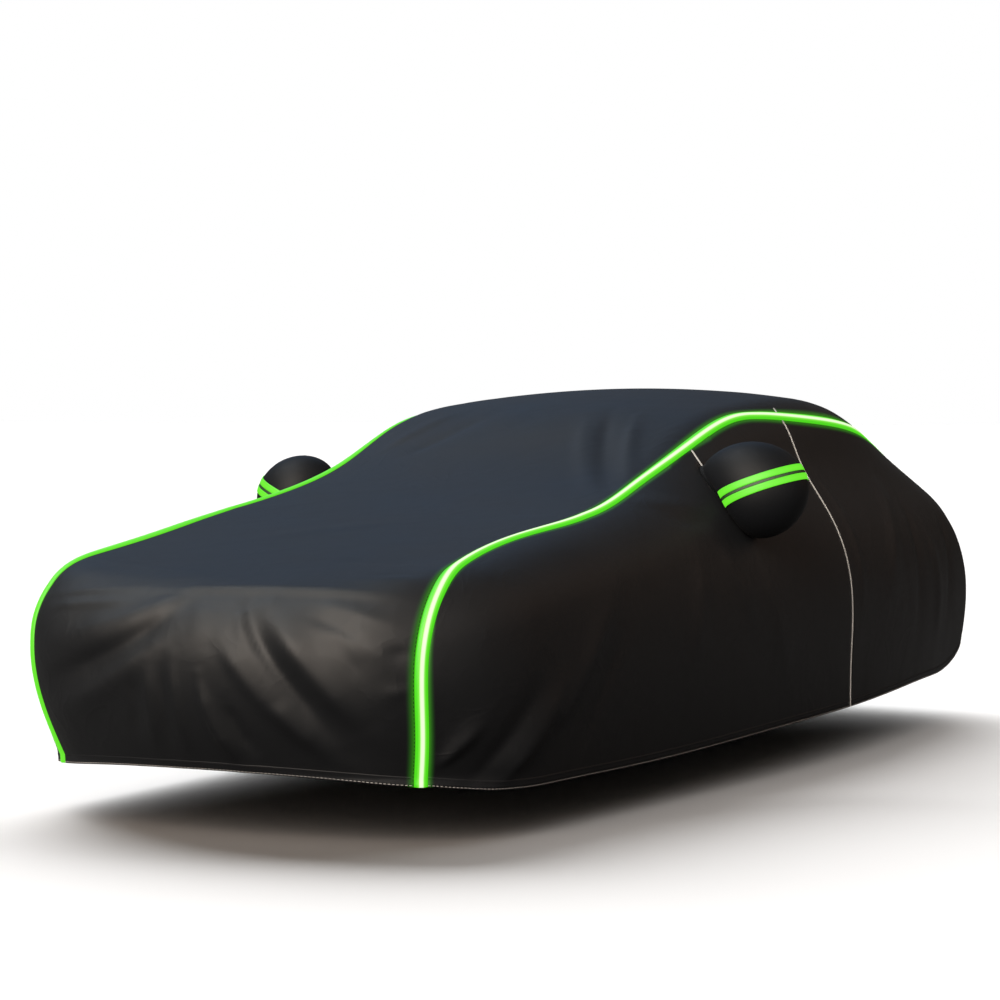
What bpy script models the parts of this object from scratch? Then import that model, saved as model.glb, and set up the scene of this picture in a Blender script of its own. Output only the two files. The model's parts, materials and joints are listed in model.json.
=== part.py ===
"""Fitted cover for a saloon-shaped body, hanging in the shape that body gives it.

A centre panel runs from the front hem over the bonnet, roof and tail to the rear
hem. Side panels hang from it down to the side hems, and a broad piping tape covers
each of the two long seams. Each side is a front and a rear panel: a zip joins them on the
left, so that a door can open, and a plain seam on the right. A mirror pocket stands
out of each front panel. Nose towards -Y, left side
at +X. Tables give heights above the ground; the finished pieces are moved so that
the origin lies under the roof cloth, where the body carries the cover.
"""

import bpy
import numpy as np

# ---------- driving sizes, in metres ----------
CLOTH = 0.002
SEAM_GAP = 0.0008
TAPE_WIDTH = 0.036
TAPE_THICKNESS = 0.0025
TAPE_PROUD = 0.001
STRIPE_WIDTH = 0.014
STRIPE_THICKNESS = 0.001
STRIPE_GAP = 0.0004
ZIP_WIDTH = 0.012
ZIP_THICKNESS = 0.002
ROOF_REST_ALONG = 0.60

# Middle of the top line: distance along (nose at -Y), height.
TOP_LINE = [
    (-2.60, 0.665),
    (-2.35, 0.741),
    (-2.00, 0.810),
    (-1.60, 0.874),
    (-1.20, 0.932),
    (-0.90, 0.993),
    (-0.55, 1.100),
    (-0.20, 1.245),
    (0.20, 1.319),
    (0.60, 1.340),
    (1.00, 1.320),
    (1.40, 1.235),
    (1.80, 1.088),
    (2.15, 0.934),
    (2.45, 0.769),
]

# Plan outline of the sides: distance along, half width.
HALF_WIDTH = [(-2.20, 0.854), (-1.50, 0.909), (-0.60, 0.949), (0.40, 0.963), (1.40, 0.896), (2.10, 0.796)]

# Lean of the sides towards the middle: height, how far in.
SIDE_LEAN = [(0.15, 0.050), (0.55, 0.012), (0.88, 0.100), (1.10, 0.230), (1.32, 0.241)]

# End faces at the middle: height, distance along.
NOSE_FACE = [(0.20, -2.330), (0.50, -2.442), (0.72, -2.418)]
TAIL_FACE = [(0.25, 2.323), (0.60, 2.373), (0.82, 2.261)]

# How the end faces and the top fall away from the middle towards the sides, in metres at CAMBER_AT.
CAMBER_AT = 0.70
NOSE_CAMBER = 0.154
TAIL_CAMBER = 0.111
BONNET_CAMBER = 0.003
ROOF_CAMBER = 0.060
BONNET_END = -1.20
ROOF_START = 0.20

# Rounding where the faces of the body meet.
FRONT_CORNER_RADIUS = 0.333
REAR_CORNER_RADIUS = 0.266
SHOULDER_RADIUS = 0.184
ROUNDING_POWER = 2.3

# The left long seam, from the front hem to the rear hem: out from the middle, along, height.
SEAM = [
    (0.630, -2.170, 0.175),
    (0.665, -2.220, 0.320),
    (0.682, -2.255, 0.450),
    (0.687, -2.255, 0.580),
    (0.688, -2.200, 0.700),
    (0.668, -2.060, 0.790),
    (0.636, -1.820, 0.835),
    (0.635, -1.610, 0.868),
    (0.665, -1.300, 0.910),
    (0.657, -1.030, 0.950),
    (0.622, -0.700, 1.020),
    (0.622, -0.460, 1.091),
    (0.635, -0.200, 1.183),
    (0.640, 0.080, 1.238),
    (0.667, 0.380, 1.240),
    (0.668, 0.700, 1.228),
    (0.640, 1.080, 1.190),
    (0.590, 1.500, 1.090),
    (0.575, 1.850, 0.960),
    (0.570, 2.100, 0.840),
    (0.575, 2.230, 0.680),
    (0.575, 2.260, 0.500),
    (0.555, 2.240, 0.330),
]
NOSE_TOP_ROW = 4
ZIP_ROW = 14
TAIL_TOP_ROW = 20

# The left hem, from the foot of the front seam to the foot of the rear seam: out, along, height.
SIDE_HEM = [
    (0.630, -2.170, 0.175),
    (0.720, -2.080, 0.162),
    (0.790, -1.950, 0.152),
    (0.843, -1.740, 0.151),
    (0.874, -1.240, 0.152),
    (0.897, -0.700, 0.160),
    (0.915, -0.200, 0.173),
    (0.918, 0.440, 0.188),
    (0.900, 0.910, 0.203),
    (0.850, 1.400, 0.215),
    (0.800, 1.860, 0.250),
    (0.770, 2.030, 0.300),
    (0.690, 2.160, 0.325),
    (0.555, 2.240, 0.330),
]
HEM_ZIP_ROW = 7

# The zip down the left side: along, height.
ZIP_LINE = [(0.380, 1.240), (0.380, 0.900), (0.378, 0.600), (0.385, 0.350), (0.440, 0.188)]

# The middle of the front face, top and tail face, with the rows that go with the seam's legs: along, height.
MIDDLE = [
    (-2.330, 0.205),
    (-2.440, 0.450),
    (-2.420, 0.600),
    (-2.340, 0.720),
    (-2.100, 0.790),
    (-1.600, 0.874),
    (-1.100, 0.950),
    (-0.550, 1.100),
    (-0.150, 1.260),
    (0.200, 1.319),
    (0.600, 1.340),
    (1.000, 1.314),
    (1.500, 1.200),
    (2.000, 1.010),
    (2.250, 0.860),
    (2.340, 0.720),
    (2.370, 0.550),
    (2.320, 0.320),
]
MIDDLE_NOSE_TOP_ROW = 3
MIDDLE_ZIP_ROW = 9
MIDDLE_TAIL_TOP_ROW = 15

# Cells of the cloth grids.
ROWS_UP = 12
COLUMNS_FRONT = 27
COLUMNS_REAR = 19
CELLS_ACROSS = 18

# Main folds seen on the front face: start out and height, end out and height, half width, height of fold.
FRONT_FOLDS = [
    (-0.05, 0.70, -0.61, 0.46, 0.050, -0.014),
    (-0.02, 0.59, -0.61, 0.36, 0.050, 0.012),
    (0.16, 0.69, 0.24, 0.56, 0.050, 0.010),
    (0.24, 0.56, 0.35, 0.38, 0.050, 0.012),
    (0.02, 0.52, 0.12, 0.25, 0.045, 0.010),
    (-0.13, 0.53, -0.19, 0.25, 0.045, 0.006),
    (0.28, 0.68, 0.44, 0.46, 0.045, 0.014),
    (0.31, 0.57, 0.48, 0.30, 0.045, -0.014),
    (0.30, 0.44, 0.44, 0.28, 0.045, 0.012),
    (0.66, 0.57, 0.58, 0.57, 0.040, -0.008),
]

# Main folds of the left side: start along and height, end along and height, half width, height of fold.
LEFT_FOLDS = [
    (-2.14, 0.25, -2.09, 0.36, 0.045, 0.012),
    (-1.98, 0.17, -1.80, 0.39, 0.055, 0.014),
    (-1.80, 0.39, -1.68, 0.52, 0.055, 0.012),
    (-1.72, 0.28, -1.60, 0.48, 0.060, 0.012),
    (-1.60, 0.48, -1.42, 0.71, 0.065, 0.012),
    (-0.67, 0.83, -0.44, 0.56, 0.080, 0.008),
    (-0.81, 0.77, -0.94, 0.40, 0.090, 0.007),
    (1.15, 1.03, 0.74, 0.56, 0.090, 0.010),
    (1.27, 0.91, 1.15, 0.38, 0.080, -0.010),
    (1.43, 0.73, 1.46, 0.34, 0.080, 0.010),
]

# Plain soft folds of the right side, in the same columns.
RIGHT_FOLDS = [
    (-1.98, 0.17, -1.72, 0.50, 0.060, 0.012),
    (-1.62, 0.26, -1.40, 0.66, 0.070, 0.010),
    (-0.60, 0.80, -0.48, 0.50, 0.085, 0.008),
    (1.12, 1.00, 0.86, 0.52, 0.090, 0.010),
    (1.30, 0.88, 1.24, 0.36, 0.080, -0.010),
]

# Folds of the top: start out and along, end out and along, half width, height of fold.
TOP_FOLDS = [
    (0.17, -0.17, 0.57, -0.95, 0.050, 0.008),
    (0.25, -0.13, 0.60, -0.88, 0.045, -0.010),
    (0.36, -0.17, 0.62, -0.76, 0.045, 0.008),
    (-0.50, -0.49, -0.36, -0.10, 0.060, 0.007),
    (-0.38, -0.55, -0.18, -0.19, 0.060, -0.006),
    (0.25, -1.99, 0.58, -1.97, 0.080, -0.005),
]
SEAM_FADE = 0.075
FACING = 1.5

# Mirror pockets: side, along, height of the middle, and the angle round the pocket where its band starts.
POCKETS = [("left", 1.0, -0.37, 0.990, 128.0), ("right", -1.0, -0.37, 0.930, 116.0)]
POCKET_OUT = 0.888
POCKET_HALF = (0.192, 0.140, 0.163)
POCKET_NECK = 0.50
POCKET_SEGMENTS = 28
POCKET_ROWS = 9
COLLAR_INWARD = 0.010
COLLAR_OUTWARD = 0.009
POCKET_CLEAR = 0.010
POCKET_CLEAR_BLEND = 0.0033
HOLE_CUT_AT = 0.755
HOLE_CUT_DEPTH = 0.30

# Three-colour band across each pocket: name, middle above the pocket's middle, half width.
BAND_STRIPS = [
    ("upper_band", 0.0235, 0.0120),
    ("middle_band", 0.006, 0.0042),
    ("lower_band", -0.0115, 0.0120),
]
BAND_RISE = 0.33
BAND_END = -25.0
BAND_STEPS = 14
BAND_THICKNESS = 0.0012
BAND_GAP = 0.0046
BAND_FACE_STEP = 0.12

# Steps used to read slopes of the form and to bring points onto it.
TOP_STEP = 0.02
FORM_STEP = 0.002
SETTLE_ROUNDS = 12
LEAST_SLOPE = 0.05

# ---------- colours: red, green, blue, then roughness ----------
COLOURS = {
    "cloth": (0.030, 0.033, 0.038, 0.42),
    "lime": (0.16, 0.85, 0.03, 0.50),
    "reflective": (0.82, 0.92, 0.72, 0.35),
    "dark_green": (0.01, 0.09, 0.01, 0.60),
    "zip": (0.42, 0.43, 0.42, 0.45),
}


# ---------- the covered body's outer form ----------
def smooth_line(table, at):
    """Natural cubic spline through a table's two columns, read at the given places."""
    knots, values = np.array(table, float).T
    steps = np.diff(knots)
    count = len(knots)
    matrix = np.eye(count)
    right = np.zeros(count)
    for i in range(1, count - 1):
        matrix[i, i - 1:i + 2] = steps[i - 1], 2 * (steps[i - 1] + steps[i]), steps[i]
        slopes = np.diff(values[i - 1:i + 2]) / steps[i - 1:i + 1]
        right[i] = 6 * (slopes[1] - slopes[0])
    bend = np.linalg.solve(matrix, right)
    at = np.clip(at, knots[0], knots[-1])
    i = np.clip(np.searchsorted(knots, at) - 1, 0, count - 2)
    width = steps[i]
    near = (knots[i + 1] - at) / width
    far = 1 - near
    curve = (near ** 3 - near) * bend[i] + (far ** 3 - far) * bend[i + 1]
    return near * values[i] + far * values[i + 1] + curve * width ** 2 / 6


def rounded_meet(first, second, radius):
    """The outer of two signed distances, with their meeting edge rounded to the radius."""
    a = np.maximum(first + radius, 0)
    b = np.maximum(second + radius, 0)
    power = ROUNDING_POWER
    edge = (a ** power + b ** power) ** (1 / power) - radius
    return np.where(a + b > 0, edge, np.maximum(first, second))


def outside_body(points):
    """About how far each point stands outside the covered body; negative inside it."""
    out, along, up = np.abs(points[..., 0]), points[..., 1], points[..., 2]
    top = smooth_line(TOP_LINE, along)
    slope = (smooth_line(TOP_LINE, along + TOP_STEP) - top) / TOP_STEP
    share = np.clip((along - BONNET_END) / (ROOF_START - BONNET_END), 0, 1)
    crown = BONNET_CAMBER + (ROOF_CAMBER - BONNET_CAMBER) * share
    bow = (out / CAMBER_AT) ** 2
    above = (up - top + crown * bow) / np.sqrt(1 + slope ** 2)
    beside = out - smooth_line(HALF_WIDTH, along) + smooth_line(SIDE_LEAN, up)
    ahead = smooth_line(NOSE_FACE, up) + NOSE_CAMBER * bow - along
    behind = along - smooth_line(TAIL_FACE, up) + TAIL_CAMBER * bow
    around = rounded_meet(rounded_meet(beside, ahead, FRONT_CORNER_RADIUS), behind, REAR_CORNER_RADIUS)
    return rounded_meet(around, above, SHOULDER_RADIUS)


def steepest(points):
    """Gradient of outside_body, by central differences."""
    parts = []
    for axis in np.eye(3) * FORM_STEP:
        parts.append(outside_body(points + axis) - outside_body(points - axis))
    return np.stack(parts, -1) / (2 * FORM_STEP)


def outward(points):
    """Unit normal of the body's form."""
    slope = steepest(points)
    return slope / np.linalg.norm(slope, axis=-1, keepdims=True)


def settle(points, free=(1, 1, 1)):
    """Moves points onto the form, along the free axes only."""
    points = np.array(points, float)
    for _ in range(SETTLE_ROUNDS):
        slope = steepest(points) * np.array(free, float)
        size = np.maximum((slope ** 2).sum(-1, keepdims=True), LEAST_SLOPE)
        points = points - outside_body(points)[..., None] * slope / size
    return points


# ---------- guide lines on the form ----------
def legs_along(rows, breaks, counts):
    """Even steps along the curve through the rows, leg by leg between the named rows."""
    rows = np.array(rows, float)
    run = np.concatenate([[0], np.cumsum(np.linalg.norm(np.diff(rows, axis=0), axis=1))])
    places = [np.zeros(1)]
    ends = [0] + list(breaks) + [len(rows) - 1]
    for i, count in enumerate(counts):
        places.append(np.linspace(run[ends[i]], run[ends[i + 1]], count + 1)[1:])
    places = np.concatenate(places)
    columns = [smooth_line(np.stack([run, rows[:, k]], 1), places) for k in range(rows.shape[1])]
    return np.stack(columns, 1)


def sideways(line):
    """Unit direction across the line, in the surface and away from the middle of the cover."""
    along = np.gradient(line, axis=0)
    across = np.cross(along, outward(line))
    across /= np.linalg.norm(across, axis=1, keepdims=True)
    return across * np.where((across[:, :1] * line[:, :1]).sum() > 0, 1, -1)


LEGS = (ROWS_UP, COLUMNS_FRONT, COLUMNS_REAR, ROWS_UP)
seam = settle(legs_along(SEAM, (NOSE_TOP_ROW, ZIP_ROW, TAIL_TOP_ROW), LEGS))
seam_across = sideways(seam)
middle_rows = legs_along(MIDDLE, (MIDDLE_NOSE_TOP_ROW, MIDDLE_ZIP_ROW, MIDDLE_TAIL_TOP_ROW), LEGS)
middle = settle(np.insert(middle_rows, 0, 0, 1), (0, 1, 1))
hem = settle(legs_along(SIDE_HEM, (HEM_ZIP_ROW,), (COLUMNS_FRONT, COLUMNS_REAR)), (1, 1, 0))
zip_rows = legs_along(np.insert(np.array(ZIP_LINE), 0, POCKET_OUT, 1), (), (ROWS_UP,))[::-1]
zip_line = settle(zip_rows, (1, 0, 0))


# ---------- folds ----------
def fold_relief(first, second, table):
    """Sum of soft ridges and troughs, each a bell across its line that dies away past its ends."""
    total = np.zeros_like(first)
    for start_a, start_b, end_a, end_b, width, height in table:
        run_a, run_b = end_a - start_a, end_b - start_b
        share = ((first - start_a) * run_a + (second - start_b) * run_b) / (run_a ** 2 + run_b ** 2)
        share = np.clip(share, 0, 1)
        gap = np.hypot(first - start_a - share * run_a, second - start_b - share * run_b)
        total += height * np.exp(-(gap / width) ** 2)
    return total


def fade(distance):
    """Nought at a seam, rising smoothly to one at SEAM_FADE from it."""
    share = np.clip(distance / SEAM_FADE, 0, 1)
    return share * share * (3 - 2 * share)


# ---------- the cloth grids ----------
def centre_grid():
    """Rows from seam to seam, one for each station along the cover, with its folds."""
    edge = settle(seam - (TAPE_WIDTH / 2 + SEAM_GAP) * seam_across)
    share = np.linspace(-1, 1, CELLS_ACROSS + 1)
    bow = (share ** 2)[None, :, None]
    points = middle[:, None, :] * (1 - bow) + edge[:, None, :] * bow
    points[..., 0] = edge[:, None, 0] * share[None, :]
    points = np.where(bow == 1, points, settle(points, (0, 1, 1)))
    normal = outward(points)
    front = fold_relief(points[..., 0], points[..., 2], FRONT_FOLDS) * np.clip(-FACING * normal[..., 1], 0, 1)
    top = fold_relief(points[..., 0], points[..., 1], TOP_FOLDS) * np.clip(FACING * normal[..., 2], 0, 1)
    keep = fade((1 - np.abs(share))[None, :] * edge[:, None, 0])
    return points + normal * ((front + top) * keep)[..., None]


def side_patch(low, high, start, end, folds):
    """Cloth between a hem below, a seam above and a line at each end, settled on the form."""
    u = np.linspace(0, 1, len(low))[None, :, None]
    w = np.linspace(0, 1, len(start))[:, None, None]
    ruled = (1 - w) * low[None] + w * high[None] + (1 - u) * start[:, None] + u * end[:, None]
    corners = (1 - w) * ((1 - u) * low[0] + u * low[-1]) + w * ((1 - u) * high[0] + u * high[-1])
    points = settle(ruled - corners)
    points[0] = low
    points[-1] = high
    points[:, 0] = start
    points[:, -1] = end
    normal = outward(points)
    relief = fold_relief(points[..., 1], points[..., 2], folds)
    to_high = np.linalg.norm(points - high[None], axis=-1)
    to_start = np.linalg.norm(points - start[:, None], axis=-1)
    to_end = np.linalg.norm(points - end[:, None], axis=-1)
    keep = fade(to_high) * fade(to_start) * fade(to_end)
    return points + normal * (relief * keep)[..., None]


def side_patches(folds, parting):
    """The panels of a side ahead of and behind the zip line, each moved back from it by the parting."""
    edge = settle(seam + (TAPE_WIDTH / 2 + SEAM_GAP) * seam_across)
    nose_top = ROWS_UP
    zip_top = nose_top + COLUMNS_FRONT
    tail_top = zip_top + COLUMNS_REAR
    foot = settle(hem, (1, 1, 0))
    foot[0] = edge[0]
    foot[-1] = edge[-1]
    apart = np.array([0, parting, 0])
    line = zip_line.copy()
    line[0] = foot[COLUMNS_FRONT]
    line[-1] = edge[zip_top]
    before = settle(line - apart, (1, 0, 0))
    after = settle(line + apart, (1, 0, 0))
    low_front, high_front = foot[:COLUMNS_FRONT + 1].copy(), edge[nose_top:zip_top + 1].copy()
    low_rear, high_rear = foot[COLUMNS_FRONT:].copy(), edge[zip_top:tail_top + 1].copy()
    low_front[-1], high_front[-1] = before[0], before[-1]
    low_rear[0], high_rear[0] = after[0], after[-1]
    front = side_patch(low_front, high_front, edge[:nose_top + 1], before, folds)
    rear = side_patch(low_rear, high_rear, after, edge[tail_top:][::-1], folds)
    return front, rear


def ribbon(line, across, width, lift, places=(-1, 0, 1)):
    """Lines of points along a tape, at shares of its half width, lifted off the form."""
    columns = [settle(line + place * width / 2 * across) for place in places]
    grid = np.stack(columns, 1)
    return grid + outward(grid) * lift


def pocket_neck(turn, along, up):
    """Where the bag's collar meets the side of the body, for each direction round it."""
    half_along, half_up = POCKET_HALF[1:]
    ring = np.stack([
        np.full_like(turn, POCKET_OUT),
        along + POCKET_NECK * half_along * np.cos(turn),
        up + POCKET_NECK * half_up * np.sin(turn),
    ], -1)
    return settle(ring, (1, 0, 0))


def bag_point(angle, turn, along, up):
    """A place on the rounded bag: angle from its tip, and direction round it. It blends into its collar."""
    start = np.pi - np.arcsin(POCKET_NECK)
    unit = np.stack([np.cos(angle), np.sin(angle) * np.cos(turn), np.sin(angle) * np.sin(turn)], -1)
    point = unit * POCKET_HALF + np.array([POCKET_OUT, along, up])
    collar = pocket_neck(turn, along, up)[..., 0] + COLLAR_OUTWARD
    point[..., 0] += (collar - POCKET_OUT - POCKET_HALF[0] * np.cos(start)) * (angle / start) ** 3
    short = POCKET_CLEAR - outside_body(point)
    push = (short + np.sqrt(short ** 2 + POCKET_CLEAR_BLEND ** 2)) / 2
    point[..., 0] += np.where(angle < start, push / outward(point)[..., 0], 0)
    return point


def pocket_grid(side, along, up):
    """Rings of a rounded bag, from a straight collar in the panel's hole out to its tip."""
    turn = np.linspace(0, 2 * np.pi, POCKET_SEGMENTS, endpoint=False)
    start = np.pi - np.arcsin(POCKET_NECK)
    neck = pocket_neck(turn, along, up)
    rings = [neck - [COLLAR_INWARD, 0, 0]]
    for k in range(POCKET_ROWS):
        rings.append(bag_point(np.full_like(turn, start * (1 - k / POCKET_ROWS)), turn, along, up))
    tip = np.array([POCKET_OUT + POCKET_HALF[0], along, up])
    return np.array(rings) * [side, 1, 1], tip * [side, 1, 1]


def on_rings(rings, angle, turn):
    """Places on the flat faces between a bag's rings, so that a band lies on the bag as it is built."""
    start = np.pi - np.arcsin(POCKET_NECK)
    row = 1 + (1 - angle / start) * POCKET_ROWS
    column = turn / (2 * np.pi) * POCKET_SEGMENTS
    i = np.clip(row.astype(int), 1, len(rings) - 2)
    j = column.astype(int)
    up_share = (row - i)[:, None]
    side_share = (column - j)[:, None]
    j, after = j % POCKET_SEGMENTS, (j + 1) % POCKET_SEGMENTS
    near = rings[i, j] * (1 - side_share) + rings[i, after] * side_share
    far = rings[i + 1, j] * (1 - side_share) + rings[i + 1, after] * side_share
    return near * (1 - up_share) + far * up_share


def band_grid(rings, band_start, middle_up, half_width):
    """A strip of tape round the front of a pocket, where slanting planes cut it, lifted along its faces."""
    half_out, _, half_up = POCKET_HALF
    slant = BAND_RISE * half_out / half_up
    size = np.sqrt(1 + slant ** 2)
    sweep = np.radians(np.linspace(band_start, BAND_END, BAND_STEPS + 1))
    rows = []
    for edge in (-1, 1):
        depth = (middle_up + edge * half_width) / half_up / size
        radius = np.sqrt(1 - depth ** 2)
        out = (radius * np.cos(sweep) - slant * depth) / size
        rise = (radius * np.cos(sweep) * slant + depth) / size
        angle = np.arccos(out)
        turn = np.arctan2(rise, -radius * np.sin(sweep)) % (2 * np.pi)
        step = BAND_FACE_STEP
        outwards = on_rings(rings, angle - step, turn) - on_rings(rings, angle + step, turn)
        around = on_rings(rings, angle, turn + step) - on_rings(rings, angle, turn - step)
        normal = np.cross(around, outwards)
        normal /= np.linalg.norm(normal, axis=1, keepdims=True)
        rows.append(on_rings(rings, angle, turn) + normal * BAND_GAP)
    return np.stack(rows, 1)


# ---------- objects ----------
def new_collection(name, parent=None):
    """A collection linked under the scene or a parent collection."""
    collection = bpy.data.collections.new(name)
    (parent or bpy.context.scene.collection).children.link(collection)
    return collection


def material(name):
    """Plain Principled material with the colour and roughness of one kind of cloth or trim."""
    red, green, blue, rough = COLOURS[name]
    found = bpy.data.materials.get(name)
    if found:
        return found
    found = bpy.data.materials.new(name)
    found.use_nodes = True
    shader = found.node_tree.nodes["Principled BSDF"]
    shader.inputs["Base Color"].default_value = (red, green, blue, 1)
    shader.inputs["Roughness"].default_value = rough
    shader.inputs["Metallic"].default_value = 0.0
    found.diffuse_color = (red, green, blue, 1)
    return found


def cloth_object(name, grid, colour, thickness, ring=False, tip=None):
    """A grid of points made one sheet, faces outwards, and given its thickness inwards by Solidify."""
    rows, columns = grid.shape[:2]
    points = grid.reshape(-1, 3) - ORIGIN
    index = np.arange(rows * columns).reshape(rows, columns)
    if ring:
        index = np.concatenate([index, index[:, :1]], 1)
    quads = np.stack([index[:-1, :-1], index[:-1, 1:], index[1:, 1:], index[1:, :-1]], -1).reshape(-1, 4)
    corners = points[quads]
    diagonals = np.cross(corners[:, 2] - corners[:, 0], corners[:, 3] - corners[:, 1])
    away = corners.mean(1) - (points.mean(0) if ring else BODY_MIDDLE - ORIGIN)
    flip = (diagonals * away).sum() < 0
    faces = [list(map(int, quad)) for quad in quads]
    if tip is not None:
        points = np.concatenate([points, [tip - ORIGIN]])
        last = index[-1]
        faces += [[int(last[k]), int(last[k + 1]), len(points) - 1] for k in range(len(last) - 1)]
    if flip:
        faces = [face[::-1] for face in faces]
    mesh = bpy.data.meshes.new(name)
    mesh.from_pydata(points.tolist(), [], faces)
    mesh.update()
    mesh.shade_smooth()
    mesh.materials.append(material(colour))
    thing = bpy.data.objects.new(name, mesh)
    cover.objects.link(thing)
    skin = thing.modifiers.new("thickness", "SOLIDIFY")
    skin.thickness = thickness
    skin.offset = -1
    skin.use_even_offset = True
    skin.use_quality_normals = True
    return thing


def cut_pocket_hole(panel, side, along, up):
    """Cuts the hole that a pocket's collar passes through, wider than the collar by the seam gap."""
    half_along, half_up = POCKET_HALF[1:]
    bpy.ops.mesh.primitive_cylinder_add(vertices=POCKET_SEGMENTS, radius=1, depth=1)
    cutter = bpy.context.object
    cutter.name = panel.name + "_pocket_hole"
    for linked in list(cutter.users_collection):
        linked.objects.unlink(cutter)
    cutters.objects.link(cutter)
    reach = np.array([POCKET_NECK * half_up, POCKET_NECK * half_along, HOLE_CUT_DEPTH])
    reach[:2] += SEAM_GAP
    corners = np.array([vertex.co for vertex in cutter.data.vertices]) * reach
    turned = np.stack([corners[:, 2], corners[:, 1], corners[:, 0]], 1) * [-1, 1, 1]
    cutter.data.vertices.foreach_set("co", turned.ravel())
    cutter.data.update()
    cutter.location = np.array([side * HOLE_CUT_AT, along, up]) - ORIGIN
    cutter.hide_render = True
    cutter.display_type = "WIRE"
    cut = panel.modifiers.new("pocket hole", "BOOLEAN")
    cut.operation = "DIFFERENCE"
    cut.solver = "EXACT"
    cut.object = cutter


for old in list(bpy.data.objects):
    bpy.data.objects.remove(old, do_unlink=True)
cover = new_collection("car_cover")
cutters = new_collection("cutters")
BODY_MIDDLE = np.array([0.0, 0.0, 0.6])
ORIGIN = np.array([0.0, ROOF_REST_ALONG, smooth_line(TOP_LINE, np.array([ROOF_REST_ALONG]))[0] - CLOTH])
MIRROR = np.array([-1.0, 1.0, 1.0])

cloth_object("centre_panel", centre_grid(), "cloth", CLOTH)

left_front, left_rear = side_patches(LEFT_FOLDS, ZIP_WIDTH / 2 + SEAM_GAP)
right_front, right_rear = side_patches(RIGHT_FOLDS, SEAM_GAP / 2)
panels = {
    "left": cloth_object("left_front_panel", left_front, "cloth", CLOTH),
    "right": cloth_object("right_front_panel", right_front * MIRROR, "cloth", CLOTH),
}
cloth_object("left_rear_panel", left_rear, "cloth", CLOTH)
cloth_object("right_rear_panel", right_rear * MIRROR, "cloth", CLOTH)
zip_across = np.zeros_like(zip_line) + [0, 1, 0]
zip_path = zip_line.copy()
zip_path[0] = settle(hem[COLUMNS_FRONT], (1, 0, 0))
zip_path[-1] = settle(seam + (TAPE_WIDTH / 2 + SEAM_GAP) * seam_across)[ROWS_UP + COLUMNS_FRONT]
cloth_object("door_zip", ribbon(zip_path, zip_across, ZIP_WIDTH, 0.0), "zip", ZIP_THICKNESS)

STRIPE_SHARE = STRIPE_WIDTH / TAPE_WIDTH
tape = ribbon(seam, seam_across, TAPE_WIDTH, TAPE_PROUD)
striped_tape = ribbon(seam, seam_across, TAPE_WIDTH, TAPE_PROUD, (-1, -STRIPE_SHARE, 0, STRIPE_SHARE, 1))
stripe = striped_tape[:, 1:4] + outward(striped_tape[:, 1:4]) * (STRIPE_GAP + STRIPE_THICKNESS)
cloth_object("left_piping", striped_tape, "lime", TAPE_THICKNESS)
cloth_object("right_piping", tape * MIRROR, "lime", TAPE_THICKNESS)
cloth_object("left_reflective_stripe", stripe, "reflective", STRIPE_THICKNESS)

for side_name, side_sign, pocket_along, pocket_up, band_start in POCKETS:
    bag, bag_tip = pocket_grid(side_sign, pocket_along, pocket_up)
    cloth_object(side_name + "_mirror_pocket", bag, "cloth", CLOTH, ring=True, tip=bag_tip)
    cut_pocket_hole(panels[side_name], side_sign, pocket_along, pocket_up)
    for band_name, middle_up, half_width in BAND_STRIPS:
        strip = band_grid(bag * [side_sign, 1, 1], band_start, middle_up, half_width)
        strip = strip * [side_sign, 1, 1]
        tint = "dark_green" if band_name == "middle_band" else "lime"
        cloth_object(side_name + "_pocket_" + band_name, strip, tint, BAND_THICKNESS)
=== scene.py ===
"""Fitted cover for a saloon, draped in the saloon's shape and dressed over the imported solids.

Nose towards -Y, left side at +X. The tables give heights above the ground, and each finished
piece is moved by ORIGIN, so that the frame's origin lies under the roof cloth.
"""

import json
import math

import bpy
import numpy as np
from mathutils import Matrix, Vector

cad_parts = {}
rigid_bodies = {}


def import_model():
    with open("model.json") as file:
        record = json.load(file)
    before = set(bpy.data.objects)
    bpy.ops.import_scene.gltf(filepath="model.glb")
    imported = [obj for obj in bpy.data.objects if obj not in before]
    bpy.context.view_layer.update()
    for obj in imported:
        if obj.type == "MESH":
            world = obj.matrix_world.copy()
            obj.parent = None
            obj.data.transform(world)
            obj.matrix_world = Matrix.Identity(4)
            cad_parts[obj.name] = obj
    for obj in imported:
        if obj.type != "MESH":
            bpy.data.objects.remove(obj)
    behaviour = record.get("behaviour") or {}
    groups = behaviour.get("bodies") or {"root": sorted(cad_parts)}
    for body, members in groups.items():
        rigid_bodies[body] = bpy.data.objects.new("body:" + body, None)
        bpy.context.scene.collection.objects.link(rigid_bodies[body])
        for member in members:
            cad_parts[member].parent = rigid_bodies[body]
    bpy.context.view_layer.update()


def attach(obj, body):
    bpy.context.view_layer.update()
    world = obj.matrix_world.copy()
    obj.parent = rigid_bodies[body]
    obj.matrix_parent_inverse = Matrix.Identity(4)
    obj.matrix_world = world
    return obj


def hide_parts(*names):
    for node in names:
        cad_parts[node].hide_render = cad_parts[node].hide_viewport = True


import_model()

# ======================================================================================
# Centre panel
# One long strip of close-woven coated polyester from the front hem over bonnet, windscreen, roof
# and tail to the rear hem. It takes the shape of the covered body, and is sewn to the side panels
# along both edges, under the piping.
# ======================================================================================

CLOTH = 0.0016
SEAM_GAP = 0.0008
TAPE_WIDTH = 0.036
# The frame's origin is here along the roof, and this far under the cloth's outer face.
ROOF_REST_ALONG, ROOF_REST_DEPTH = 0.60, 0.002

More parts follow.
